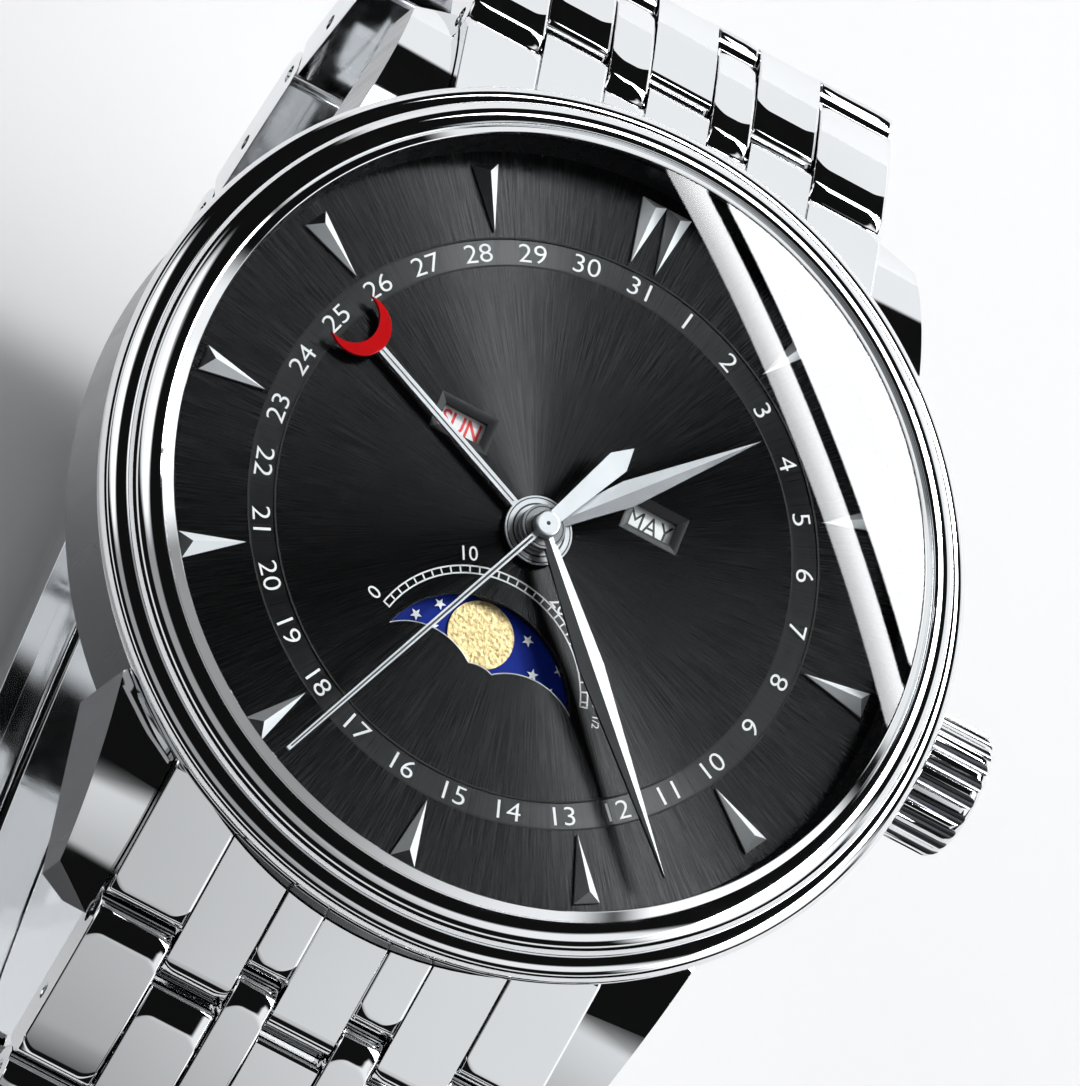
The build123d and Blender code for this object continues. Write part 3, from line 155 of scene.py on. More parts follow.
def coat(tree, shader, colour_noise, gloss_noise, dark, light, smooth, rough):
    """Colour between dark and light by one noise, and roughness between smooth and rough by another."""
    mix = add_node(tree, "ShaderNodeMix", data_type="RGBA")
    mix.inputs["A"].default_value = (*dark, 1)
    mix.inputs["B"].default_value = (*light, 1)
    tree.links.new(spread(tree, colour_noise, 0, 1), mix.inputs["Factor"])
    tree.links.new(mix.outputs["Result"], shader.inputs["Base Color"])
    tree.links.new(spread(tree, gloss_noise, smooth, rough), shader.inputs["Roughness"])


def worn_metal(name, dark, light, smooth, rough, grain=900, stretch=(1, 1, 1), depth=0.002,
               strength=0.15, metallic=1.0):
    """Metal with a little colour change, fine wear in its gloss and a faint grain."""
    material, tree, shader = new_material(name)
    place = object_place(tree, stretch)
    fine = noise_at(tree, place, grain)
    broad = noise_at(tree, place, grain / 12, detail=2.0)
    shader.inputs["Metallic"].default_value = metallic
    coat(tree, shader, broad, fine, dark, light, smooth, rough)
    bump_from(tree, shader, fine, strength, depth)
    return material


def fine_steel(name, dark, light, smooth, rough, metallic=1.0):
    """Steel of the hands and markers, with a grain too fine to read as wear."""
    return worn_metal(name, dark, light, smooth, rough, grain=2500, strength=0.05, depth=0.0008,
                      metallic=metallic)


# How the face of a link cell falls away: reach from an edge, softness and slope of each zone
cell_measures = ("after_start", "before_end", "from_middle", "half_width")
side_reach, side_soft, side_fall = 0.09, 0.04, 0.6
start_reach, start_soft = 1.3, 0.25
end_reach, end_soft, end_fall = 0.35, 0.2, 0.25
corner_reach, corner_bulge = 0.8, 0.8
band_roll = 0.0022


def pillowed_metal(name, dark, light, smooth, rough):
    """Link steel whose face falls away towards the two ends of each cell and a little to both sides."""
    material = worn_metal(name, dark, light, smooth, rough)
    tree = material.node_tree
    after_start, before_end, from_middle, half_width = [
        add_node(tree, "ShaderNodeAttribute", attribute_name=measure).outputs["Fac"]
        for measure in cell_measures]

    def inside(reach, distance, soft):
        """How far a point lies inside the zone along an edge."""
        return arithmetic(tree, "SMOOTH_MAX", arithmetic(tree, "SUBTRACT", reach, distance), 0, soft)

    from_side = arithmetic(tree, "SUBTRACT", half_width, arithmetic(tree, "ABSOLUTE", from_middle))
    corner = arithmetic(tree, "MAXIMUM", arithmetic(tree, "SUBTRACT", corner_reach, from_side), 0)
    bulge = arithmetic(tree, "MULTIPLY", arithmetic(tree, "MULTIPLY", corner, corner), corner_bulge)
    near_side = inside(side_reach, from_side, side_soft)
    near_start = inside(arithmetic(tree, "ADD", start_reach, bulge), after_start, start_soft)
    near_end = inside(arithmetic(tree, "ADD", end_reach, bulge), before_end, end_soft)
    across = parts_of(tree, object_place(tree, (1 / MM, 1 / MM, 1 / MM)))["X"]
    falls = (arithmetic(tree, "MULTIPLY", near_start, end_fall),
             arithmetic(tree, "MULTIPLY", near_end, end_fall),
             arithmetic(tree, "MULTIPLY", near_side, side_fall),
             arithmetic(tree, "MULTIPLY", arithmetic(tree, "MULTIPLY", across, across), band_roll))
    height = 0
    for fall in falls:
        height = arithmetic(tree, "SUBTRACT", height, fall)
    bump_from(tree, tree.nodes["Principled BSDF"], height, 1.0, 1.0)
    return material


def painted(name, dark, light, smooth, rough, metallic=0.0, strength=0.2, gloss=0.5):
    """Lacquer or print with a fine tooth."""
    material, tree, shader = new_material(name)
    place = object_place(tree)
    fine = noise_at(tree, place, 1500)
    broad = noise_at(tree, place, 150)
    shader.inputs["Metallic"].default_value = metallic
    shader.inputs["Specular IOR Level"].default_value = gloss
    coat(tree, shader, broad, fine, dark, light, smooth, rough)
    bump_from(tree, shader, fine, strength, 0.002)
    return material


def sunburst(name, dark, light, smooth, rough):
    """Brushed dial metal: fine rays from the dial's centre, as bumps and as light and dark lines."""
    material, tree, shader = new_material(name)
    place = object_place(tree)
    parts = parts_of(tree, place)
    length = add_node(tree, "ShaderNodeVectorMath", operation="LENGTH")
    tree.links.new(place, length.inputs[0])
    rays = add_node(tree, "ShaderNodeCombineXYZ")
    tree.links.new(arithmetic(tree, "ARCTAN2", parts["Y"], parts["X"]), rays.inputs["X"])
    tree.links.new(arithmetic(tree, "MULTIPLY", length.outputs["Value"], 1.5), rays.inputs["Y"])
    fine = noise_at(tree, rays.outputs["Vector"], 190, detail=5.0, roughness=0.7)
    shader.inputs["Metallic"].default_value = 0.9
    shader.inputs["Anisotropic"].default_value = 0.93
    tangent = add_node(tree, "ShaderNodeTangent", direction_type="RADIAL", axis="Z")
    tree.links.new(tangent.outputs["Tangent"], shader.inputs["Tangent"])
    coat(tree, shader, fine, fine, dark, light, smooth, rough)
    bump_from(tree, shader, fine, 0.12, 0.004)
    return material


def grainy_gold(name, dark, light, smooth, rough):
    """The moon: frosted gold with a coarse pressed grain."""
    material, tree, shader = new_material(name)
    coarse = noise_at(tree, object_place(tree), 5000, detail=4.0, roughness=0.6)
    shader.inputs["Metallic"].default_value = 0.75
    coat(tree, shader, coarse, coarse, dark, light, smooth, rough)
    bump_from(tree, shader, coarse, 1.0, 0.045)
    return material


def clear_glass(name):
    """Domed glass: clear, with a mirror of the room on its outer face that grows towards the rim."""
    material, tree, shader = new_material(name)
    shader.inputs["Base Color"].default_value = (1, 1, 1, 1)
    shader.inputs["Metallic"].default_value = 1
    shader.inputs["Roughness"].default_value = 0.0
    through = add_node(tree, "ShaderNodeBsdfTransparent")
    through.inputs["Color"].default_value = (0.97, 0.98, 0.98, 1)
    sheen = add_node(tree, "ShaderNodeFresnel")
    sheen.inputs["IOR"].default_value = 1.77
    haze = spread(tree, noise_at(tree, object_place(tree), 25), 0.99, 1.0)
    facing = add_node(tree, "ShaderNodeNewGeometry")
    outer = arithmetic(tree, "SUBTRACT", 1, facing.outputs["Backfacing"])
    mirrored = arithmetic(tree, "MULTIPLY", sheen.outputs["Fac"], outer)
    mix = add_node(tree, "ShaderNodeMixShader")
    tree.links.new(arithmetic(tree, "MULTIPLY", mirrored, haze), mix.inputs["Fac"])
    tree.links.new(through.outputs["BSDF"], mix.inputs[1])
    tree.links.new(shader.outputs["BSDF"], mix.inputs[2])
    tree.links.new(mix.outputs["Shader"], tree.nodes["Material Output"].inputs["Surface"])
    return material


# Finishes: name, dark and light colour, and the two ends of the roughness
polished_steel = worn_metal("polished_steel", (0.80, 0.81, 0.82), (0.86, 0.87, 0.88), 0.02, 0.05,
                            strength=0.02, depth=0.0004)
link_steel = pillowed_metal("link_steel", (0.80, 0.81, 0.82), (0.86, 0.87, 0.88), 0.02, 0.05)
satin_steel = worn_metal("satin_steel", (0.55, 0.56, 0.58), (0.66, 0.67, 0.69), 0.22, 0.34,
                         grain=1400, stretch=(0.08, 1, 1), depth=0.003)
# Brushed steel for the case flanks: real brushed grain, with painted shade in its dark colour
flank_painted_shade = worn_metal("brushed_flank_painted_shade", (0.15, 0.154, 0.162), (0.20, 0.205, 0.213), 0.20, 0.28,
                         grain=1400, stretch=(1, 1, 0.08))
# Near black steel for the crown's flutes: painted shade in the grooves
flute_painted_shade = worn_metal("flute_painted_shade", (0.05, 0.05, 0.055), (0.10, 0.10, 0.11), 0.12, 0.22)
gilt_brass = worn_metal("gilt_brass", (0.68, 0.50, 0.20), (0.80, 0.62, 0.30), 0.18, 0.3)
nickel_plate = worn_metal("nickel_plate", (0.62, 0.60, 0.55), (0.72, 0.70, 0.65), 0.22, 0.36)
movement_steel = worn_metal("movement_steel", (0.42, 0.43, 0.46), (0.55, 0.56, 0.58), 0.16, 0.28)
# Light, grey and dark copies of the marker steel: painted light and shade on the markers' facets
marker_painted_light = fine_steel("marker_painted_light", (0.92, 0.93, 0.95), (0.95, 0.96, 0.98), 0.36, 0.38,
                          metallic=0.3)
marker_painted_half_shade = fine_steel("marker_painted_half_shade", (0.38, 0.38, 0.39), (0.44, 0.44, 0.45), 0.36, 0.38,
                         metallic=0.5)
marker_painted_shade = fine_steel("marker_painted_shade", (0.13, 0.13, 0.135), (0.17, 0.17, 0.175), 0.36, 0.38)
hand_steel = fine_steel("hand_steel", (0.53, 0.54, 0.56), (0.56, 0.57, 0.59), 0.31, 0.33)
# A darker copy of the hand steel for the hour hand's facets: painted shade
hour_hand_painted_shade = fine_steel("hour_hand_painted_shade", (0.17, 0.17, 0.18), (0.21, 0.21, 0.22), 0.31, 0.33)
# Darker copies of the hand steel for the minute hand's two facets: painted shade, deeper on the right
# facet to tone down its reflection
minute_shaded_left = fine_steel("minute_hand_painted_shade", (0.20, 0.205, 0.21), (0.22, 0.225, 0.23), 0.31, 0.33)
minute_shaded_right = fine_steel("minute_hand_painted_deep_shade", (0.088, 0.09, 0.093), (0.10, 0.103, 0.106), 0.31, 0.33)
dial_metal = sunburst("dial_sunburst", (0.009, 0.009, 0.0095), (0.021, 0.021, 0.022), 0.22, 0.32)
track_metal = sunburst("date_track", (0.019, 0.019, 0.020), (0.035, 0.035, 0.036), 0.26, 0.38)
moon_gold = grainy_gold("moon_gold", (0.22, 0.155, 0.06), (0.64, 0.51, 0.27), 0.32, 0.5)
# Near black for the strips along the hands and the rings on their hubs: painted shade in grooves and
# between the hub's parts
groove_painted_shade = painted("groove_painted_shade", (0.03, 0.03, 0.032), (0.06, 0.06, 0.065), 0.3, 0.45, metallic=0.8)
rehaut_black = painted("rehaut_black", (0.016, 0.016, 0.018), (0.030, 0.030, 0.033), 0.24, 0.32,
                       metallic=0.6)
# Dark grey for the word windows' bevels: painted shade in the recesses
frame_painted_shade = painted("window_frame_painted_shade", (0.018, 0.018, 0.019), (0.028, 0.028, 0.030), 0.4, 0.5,
                     metallic=0.5)
track_edge = painted("track_edge_black", (0.003, 0.003, 0.003), (0.006, 0.006, 0.006), 0.5, 0.6,
                     gloss=0.2)
print_white = painted("print_white", (0.62, 0.62, 0.63), (0.72, 0.72, 0.73), 0.45, 0.6)
print_black = painted("print_black", (0.012, 0.012, 0.012), (0.025, 0.025, 0.025), 0.4, 0.55)
print_red = painted("print_red", (0.62, 0.015, 0.015), (0.75, 0.03, 0.025), 0.4, 0.55)
disc_white = painted("disc_white", (0.66, 0.66, 0.67), (0.78, 0.78, 0.79), 0.4, 0.55)
hand_red = painted("hand_red", (0.36, 0.002, 0.004), (0.46, 0.006, 0.008), 0.06, 0.12)
sky_blue = painted("sky_blue", (0.002, 0.014, 0.180), (0.003, 0.018, 0.220), 0.5, 0.6, strength=0.05,
                   gloss=0.08)
star_white = painted("star_white", (0.80, 0.80, 0.82), (0.90, 0.90, 0.92), 0.35, 0.5)
seal_rubber = painted("seal_rubber", (0.012, 0.012, 0.012), (0.03, 0.03, 0.03), 0.6, 0.8)
holder_plastic = painted("holder_plastic", (0.05, 0.05, 0.055), (0.09, 0.09, 0.10), 0.45, 0.6)
crystal_glass = clear_glass("crystal_glass")


def place_piece(name, mesh, material, body):
    """A new piece of the scene from a mesh in metres, riding on a body."""
    mesh.materials.clear()
    mesh.materials.append(material)
    piece = bpy.data.objects.new(name, mesh)
    bpy.context.scene.collection.objects.link(piece)
    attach(piece, body)
    return piece


def shade(mesh, angle):
    """Smooth shading with crisp edges."""
    mesh.polygons.foreach_set("use_smooth", [True] * len(mesh.polygons))
    mesh.set_sharp_from_angle(angle=radians(angle))


def refined(node, material, angle=30, edge=0.0):
    """A copy of a node with joined faces, rounded edges and smooth shading, which stands for it."""
    mesh = nodes[node].data.copy()
    mesh.name = node + "_finished"
    build = bmesh.new()
    build.from_mesh(mesh)
    bmesh.ops.remove_doubles(build, verts=build.verts, dist=0.001 * MM)
    bmesh.ops.dissolve_limit(build, angle_limit=radians(0.5), verts=build.verts, edges=build.edges)
    build.to_mesh(mesh)
    build.free()
    piece = place_piece(node + "_finished", mesh, material, body_of[node])
    if edge:
        rounding = piece.modifiers.new("edge", "BEVEL")
        rounding.width = edge * MM
        rounding.segments = 2
        rounding.limit_method = "ANGLE"
        rounding.angle_limit = radians(35)
        rounding.harden_normals = False
    shade(mesh, angle)
    weigh = piece.modifiers.new("weigh", "WEIGHTED_NORMAL")
    weigh.keep_sharp = True
    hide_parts(node)
    return piece


def finish_faces(piece, choose, *materials):
    """More finishes on a piece: a function says for each face which one it gets, 0 being the first."""
    for material in materials:
        piece.data.materials.append(material)
    for polygon in piece.data.polygons:
        polygon.material_index = int(choose(polygon))


def kept_mesh(build, name, outward=True):
    """The mesh of a finished build, with its faces turned outward."""
    if outward:
        bmesh.ops.recalc_face_normals(build, faces=build.faces)
    mesh = bpy.data.meshes.new(name)
    build.to_mesh(mesh)
    build.free()
    return mesh


def joined(name, meshes, material, body):
    """One piece from several meshes, all in their place."""
    build = bmesh.new()
    for mesh in meshes:
        build.from_mesh(mesh)
    return place_piece(name, kept_mesh(build, name, outward=False), material, body)


def wall(build, before, after):
    """Faces between two closed rows of points."""
    for corner in range(len(before)):
        other = (corner + 1) % len(before)
        build.faces.new((before[corner], before[other], after[other], after[corner]))


def turned_mesh(name, outline, steps=240, sharp=25):
    """A closed ring or disc turned about the Z axis from (radius, height) points."""
    build = bmesh.new()
    rows = []
    for radius, height in outline:
        angles = [2 * pi * step / steps for step in range(steps if radius else 1)]
        rows.append([build.verts.new((radius * MM * cos(angle), radius * MM * sin(angle), height * MM))
                     for angle in angles])
    for lower, upper in zip(rows, rows[1:] + rows[:1]):
        if len(lower) > 1 and len(upper) > 1:
            wall(build, lower, upper)
        elif len(upper) > 1:
            for step in range(steps):
                build.faces.new((lower[0], upper[(step + 1) % steps], upper[step]))
        elif len(lower) > 1:
            for step in range(steps):
                build.faces.new((lower[step], lower[(step + 1) % steps], upper[0]))
    mesh = kept_mesh(build, name)
    shade(mesh, sharp)
    return mesh


def plate_mesh(name, outline, level, thickness):
    """A flat plate with a closed outline of (x, y) points."""
    build = bmesh.new()
    low, high = [[build.verts.new((x * MM, y * MM, height * MM)) for x, y in outline]
                 for height in (level, level + thickness)]
    build.faces.new(list(reversed(low)))
    build.faces.new(high)
    wall(build, low, high)
    return kept_mesh(build, name)


def arc_through(start, middle, end, count):
    """Points along the arc through three points, without the last."""
    (ax, ay), (bx, by), (cx, cy) = start, middle, end
    a, b, c = ax * ax + ay * ay, bx * bx + by * by, cx * cx + cy * cy
    d = 2 * (ax * (by - cy) + bx * (cy - ay) + cx * (ay - by))
    ux = (a * (by - cy) + b * (cy - ay) + c * (ay - by)) / d
    uy = (a * (cx - bx) + b * (ax - cx) + c * (bx - ax)) / d
    radius = sqrt((ax - ux) ** 2 + (ay - uy) ** 2)
    first = atan2(ay - uy, ax - ux)
    through = atan2(by - uy, bx - ux)
    last = atan2(cy - uy, cx - ux)
    sweep = (last - first) % (2 * pi)
    if (through - first) % (2 * pi) > sweep:
        sweep -= 2 * pi
    angles = [first + sweep * step / count for step in range(count)]
    return [(ux + radius * cos(angle), uy + radius * sin(angle)) for angle in angles]


def dome_points(edge_radius, edge_height, top_height, count):
    """Points on a dome from its edge to the centre line."""
    rise = top_height - edge_height
    ball = (edge_radius ** 2 + rise ** 2) / (2 * rise)
    points = []
    for step in range(count + 1):
        out = edge_radius * (1 - step / count)
        points.append((out, top_height - ball + sqrt(ball ** 2 - out ** 2)))
    return points


def dial_point(radius, angle):
    """A point in the dial plane, with the angle clockwise from 12 o'clock."""
    return (radius * sin(radians(angle)), radius * cos(radians(angle)))


def lettering(words, size, x, y, z, angle=0, squeeze=1.0, weight=0.0):
    """The mesh of a printed word, centred at a point and turned clockwise."""
    curve = bpy.data.curves.new("lettering", "FONT")
    curve.body = words
    curve.size = 1.0
    curve.align_x = "LEFT"
    curve.resolution_u = 4
    curve.extrude = print_thickness / 2 / size
    curve.offset = weight
    text = bpy.data.objects.new("lettering", curve)
    bpy.context.scene.collection.objects.link(text)
    bpy.context.view_layer.update()
    depsgraph = bpy.context.evaluated_depsgraph_get()
    mesh = bpy.data.meshes.new_from_object(text.evaluated_get(depsgraph))
    bpy.data.objects.remove(text)
    bpy.data.curves.remove(curve)
    low = Vector((min(v.co.x for v in mesh.vertices), min(v.co.y for v in mesh.vertices), 0))
    high = Vector((max(v.co.x for v in mesh.vertices), max(v.co.y for v in mesh.vertices), 0))
    grow = size * MM / (high.y - low.y)
    to_middle = Matrix.Translation(-(low + high) / 2)
    grown = Matrix.Diagonal((grow * squeeze, grow, size * MM, 1))
    spun = Matrix.Rotation(-radians(angle), 4, "Z")
    placed = Matrix.Translation((x * MM, y * MM, (z + print_thickness / 2) * MM))
    mesh.transform(placed @ spun @ grown @ to_middle)
    return mesh


def flat_ring(name, inner, outer, level, thickness, steps=360):
    outline = [(inner, level), (outer, level), (outer, level + thickness), (inner, level + thickness)]
    return turned_mesh(name, outline, steps, 30)


def disc_mesh(name, radius, x, y, level, thickness, steps=96):
    outline = [(0, level), (radius, level), (radius, level + thickness), (0, level + thickness)]
    mesh = turned_mesh(name, outline, steps)
    mesh.transform(Matrix.Translation((x * MM, y * MM, 0)))
    return mesh


def scale_arc(inner, outer, from_angle, to_angle, steps):
    """A printed arc of the moon's scale between two angles, clockwise from 12 o'clock."""
    build = bmesh.new()
    rows = []
    section = ((inner, dial_top), (outer, dial_top), (outer, dial_top + print_thickness),
               (inner, dial_top + print_thickness))
    for step in range(steps + 1):
        x, y = dial_point(1, from_angle + (to_angle - from_angle) * step / steps)
        rows.append([build.verts.new((radius * x * MM, (scale_centre + radius * y) * MM, height * MM))
                     for radius, height in section])
    for before, after in zip(rows, rows[1:]):
        wall(build, before, after)
    build.faces.new(rows[0])
    build.faces.new(list(reversed(rows[-1])))
    return kept_mesh(build, "scale_arc")


def star_mesh(x, y, spin, level):
    """A flat five-pointed star."""
    outline = []
    for corner in range(10):
        across, along = dial_point(star_size * (star_waist if corner % 2 else 1), spin + 36 * corner)
        outline.append((x + across, y + along))
    return plate_mesh("star", outline, level, star_thickness)


def strip(from_radius, to_radius, half_start, half_end, angle, level):
    """A narrow flat strip along a hand, from one radius to another, turned clockwise from 12 o'clock."""
    outline = ((-half_start, from_radius), (half_start, from_radius), (half_end, to_radius),
               (-half_end, to_radius))
    mesh = plate_mesh("strip", outline, level, groove_thickness)
    mesh.transform(Matrix.Rotation(-radians(angle), 4, "Z"))
    return mesh


def shape_tree(name, inputs):
    """A node tree with named inputs, the identifiers of these and their sockets inside."""
    tree = bpy.data.node_groups.new(name, "GeometryNodeTree")
    sockets = {}
    for title, kind in (("Base", "Geometry"), *inputs, ("Place", "Vector"), ("Material", "Material")):
        socket = tree.interface.new_socket(name=title, in_out="INPUT", socket_type="NodeSocket" + kind)
        sockets[title] = socket.identifier
    tree.interface.new_socket(name="Shape", in_out="OUTPUT", socket_type="NodeSocketGeometry")
    return tree, sockets, tree.nodes.new("NodeGroupInput").outputs


def link_all(tree, pairs):
    for source, target in pairs:
        tree.links.new(source, target)


def place_and_coat(tree, given, shape):
    """The end of a node tree: the shape goes to its place, is made real and gets its material."""
    moved = add_node(tree, "GeometryNodeTransform")
    real = add_node(tree, "GeometryNodeRealizeInstances")
    coated = add_node(tree, "GeometryNodeSetMaterial")
    result = tree.nodes.new("NodeGroupOutput")
    link_all(tree, ((shape, moved.inputs["Geometry"]), (given["Place"], moved.inputs["Translation"]),
                    (moved.outputs["Geometry"], real.inputs["Geometry"]),
                    (real.outputs["Geometry"], coated.inputs["Geometry"]),
                    (given["Material"], coated.inputs["Material"]),
                    (coated.outputs["Geometry"], result.inputs["Shape"])))


def mesh_by_tree(name, base, tree, sockets, values):
    """The mesh that a node tree makes from a base mesh, with its inputs set by their names."""
    holder = bpy.data.objects.new(name, base)
    bpy.context.scene.collection.objects.link(holder)
    setter = holder.modifiers.new(tree.name, "NODES")
    setter.node_group = tree
    for title, value in values.items():
        setter[sockets[title]] = value
    bpy.context.view_layer.update()
    mesh = bpy.data.meshes.new_from_object(holder.evaluated_get(bpy.context.evaluated_depsgraph_get()))
    holder.modifiers.remove(setter)
    bpy.data.objects.remove(holder)
    return mesh


def bars_on_arc(count, radius, from_angle, sweep, size, place, material):
    """Equal bars across an arc."""
    tree, sockets, given = shape_tree("bars_on_arc", (
        ("Count", "Int"), ("Radius", "Float"), ("From Angle", "Float"), ("Sweep", "Float"),
        ("Bar Size", "Vector")))
    arc = add_node(tree, "GeometryNodeCurveArc")
    arc.inputs["Resolution"].default_value = 256
    points = add_node(tree, "GeometryNodeResampleCurve")
    bar = add_node(tree, "GeometryNodeMeshCube")
    along = add_node(tree, "GeometryNodeInputTangent")
    aligned = add_node(tree, "FunctionNodeAlignRotationToVector", axis="X", pivot_axis="Z")
    copies = add_node(tree, "GeometryNodeInstanceOnPoints")
    link_all(tree, ((given["Radius"], arc.inputs["Radius"]),
                    (given["From Angle"], arc.inputs["Start Angle"]),
                    (given["Sweep"], arc.inputs["Sweep Angle"]),
                    (arc.outputs["Curve"], points.inputs["Curve"]),
                    (given["Count"], points.inputs["Count"]), (given["Bar Size"], bar.inputs["Size"]),
                    (along.outputs["Tangent"], aligned.inputs["Vector"]),
                    (points.outputs["Curve"], copies.inputs["Points"]),
                    (bar.outputs["Mesh"], copies.inputs["Instance"]),
                    (aligned.outputs["Rotation"], copies.inputs["Rotation"])))
    place_and_coat(tree, given, copies.outputs["Instances"])
    return mesh_by_tree("bars_on_arc", bpy.data.meshes.new("bars_on_arc"), tree, sockets, {
        "Count": count, "Radius": radius * MM, "From Angle": radians(from_angle),
        "Sweep": radians(sweep), "Bar Size": [part * MM for part in size],
        "Place": [part * MM for part in place], "Material": material})


def tube_along(name, corners, radius, level, material):
    """A thin round edge swept along a line of points."""
    tree, sockets, given = shape_tree("tube_along", (("Thickness", "Float"),))
    path = add_node(tree, "GeometryNodeMeshToCurve")
    profile = add_node(tree, "GeometryNodeCurvePrimitiveCircle")
    profile.inputs["Resolution"].default_value = 12
    swept = add_node(tree, "GeometryNodeCurveToMesh")
    link_all(tree, ((given["Base"], path.inputs["Mesh"]), (given["Thickness"], profile.inputs["Radius"]),
                    (path.outputs["Curve"], swept.inputs["Curve"]),
                    (profile.outputs["Curve"], swept.inputs["Profile Curve"])))
    place_and_coat(tree, given, swept.outputs["Mesh"])
    line = bpy.data.meshes.new(name)
    line.from_pydata([(x * MM, y * MM, 0) for x, y in corners],
                     [(point, point + 1) for point in range(len(corners) - 1)], [])
    mesh = mesh_by_tree(name, line, tree, sockets, {
        "Thickness": radius * MM, "Place": [0, 0, level * MM], "Material": material})
    shade(mesh, 60)
    return mesh


def midway(start, end, out, up):
    """The middle of two outline points, moved out and up."""
    return ((start[0] + end[0]) / 2 + out, (start[1] + end[1]) / 2 + up)


# Bezel and crystal, turned again from the outlines of the solids in finer steps
opening, bezel_bore, glass_rim = 18.3, 18.65, 18.73
bezel_seat = dial_top - 1.1
glass_seat = dial_top + 1.32
lip_top = dial_top + 2.2
dome_top = dial_top + 3.35
glass_shoulder = glass_seat + 0.63
glass_thickness = 0.9
dome_edge = (18.9, lip_top - 0.16)
dome_foot = (20.12, dial_top + 1.05)
dome_mid = midway(dome_edge, dome_foot, 0.2, 0.2)
groove_inner = (20.12, dial_top + 0.85)
groove_outer = (20.32, dial_top + 0.85)
ring_side = (21.1, dial_top)
ring_mid = midway(groove_outer, ring_side, 0.16, 0.16)
ring_foot = (20.75, bezel_seat)
ring_low = midway(ring_side, ring_foot, 0.08, 0)
bezel_outline = [(opening, lip_top - 0.03), (opening + 0.04, lip_top), (18.84, lip_top - 0.33),
                 (18.88, lip_top - 0.33)]
bezel_outline += arc_through(dome_edge, dome_mid, dome_foot, 24)
bezel_outline += [dome_foot, groove_inner]
bezel_outline += arc_through(groove_outer, ring_mid, ring_side, 20)
bezel_outline += arc_through(ring_side, ring_low, ring_foot, 10)
bezel_outline += [ring_foot, (bezel_bore, bezel_seat), (bezel_bore, glass_seat), (glass_rim, glass_seat),
                  (glass_rim, glass_shoulder), (opening, glass_shoulder)]
bezel_mesh = turned_mesh("bezel_finished", bezel_outline, steps=360)
bezel = place_piece("bezel_finished", bezel_mesh, polished_steel, "case")
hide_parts("bezel")

glass_edge = 18.235
glass_outline = dome_points(glass_edge, lip_top, dome_top, 90) + [(0, dome_top - glass_thickness)]
glass_outline += list(reversed(dome_points(18.2, glass_seat, dome_top - glass_thickness, 24)))[1:]
glass_outline += [(18.6, glass_seat), (18.6, glass_shoulder), (glass_edge, glass_shoulder)]
glass = place_piece("crystal_finished", turned_mesh("crystal_finished", glass_outline), crystal_glass,
                    "case")
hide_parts("crystal")

# Bracelet: borders between the cells across it, then where each link starts, as distance from the
# crown's axis and height, and its slope at rest
cell_borders = (-7.15, -3.8, -1.65, 1.65, 3.8, 7.15)
upper_face = 0.6
far_from_edge = 9.0
pivots = ((24.05, 1.55), (30.846, -3.387), (34.262, -11.061), (33.969, -19.456), (30.822, -27.244),
          (25.202, -33.487))
link_slopes = (36, 66, 92, 112, 132, 154)
link_start_shift = {12: -0.9, 6: 0.0}
end_link_start = (17.0, 5.6)
end_link_slope = 30


def mark_cells(mesh, side, start, slope, start_shift):
    """Stores on each upper face corner its distance from the cell's two ends and from its middle line."""
    toward = 1 if side == 12 else -1
    away = Vector((0, toward * cos(radians(slope)), -sin(radians(slope))))
    outward = Vector((0, toward * sin(radians(slope)), cos(radians(slope))))
    origin = Vector((0, toward * start[0], start[1]))
    cells = {}
    for polygon in mesh.polygons:
        if polygon.normal.dot(outward) > upper_face:
            cell = sum(1 for border in cell_borders if polygon.center.x / MM > border)
            cells.setdefault(cell, []).extend(polygon.loop_indices)
    after_start, before_end, from_middle, half_width = [
        [usual] * len(mesh.loops) for usual in (far_from_edge, far_from_edge, 0.0, far_from_edge)]
    for loops in cells.values():
        corners = [mesh.vertices[mesh.loops[index].vertex_index].co / MM for index in loops]
        along = [(corner - origin).dot(away) for corner in corners]
        first, last = min(along), max(along)
        left, right = min(corner.x for corner in corners), max(corner.x for corner in corners)
        for index, corner, place in zip(loops, corners, along):
            after_start[index] = place - first + start_shift
            before_end[index] = last - place
            from_middle[index] = corner.x - (left + right) / 2
            half_width[index] = (right - left) / 2
    for measure, values in zip(cell_measures, (after_start, before_end, from_middle, half_width)):
        mesh.attributes.new(measure, "FLOAT", "CORNER").data.foreach_set("value", values)


for side in (12, 6):
    end_link = refined(f"end_link_{side}", link_steel, edge=0.04)
    mark_cells(end_link.data, side, end_link_start, end_link_slope, far_from_edge)
    for number, (pivot, slope) in enumerate(zip(pivots, link_slopes), start=1):
        link = refined(f"link_{side}_{number}", link_steel, edge=0.05)
        mark_cells(link.data, side, pivot, slope, link_start_shift[side])
for node in ("clasp_cover", "clasp_middle_blade", "clasp_inner_blade", "clasp_button_left",
             "clasp_button_right"):
    refined(node, polished_steel, edge=0.06)

# Case, with brushed flanks darkened as painted shade, and crown, with painted shade in its flutes
flank_limit = 0.6
flute_depth = 0.08
case_piece = refined("case_middle", polished_steel, angle=35, edge=0.05)
finish_faces(case_piece, lambda polygon: abs(polygon.normal.z) < flank_limit, flank_painted_shade)
crown_low, crown_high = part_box("crown")
crown_height = (crown_low.z + crown_high.z) / 2
crown_radius = (crown_high.z - crown_low.z) / 2


def in_flute(polygon):
    """Whether a face of the crown lies below its outer surface."""
    depth = crown_radius - sqrt(polygon.center.y ** 2 + (polygon.center.z - crown_height) ** 2)
    return depth > flute_depth * MM and abs(polygon.normal.x) < 0.3


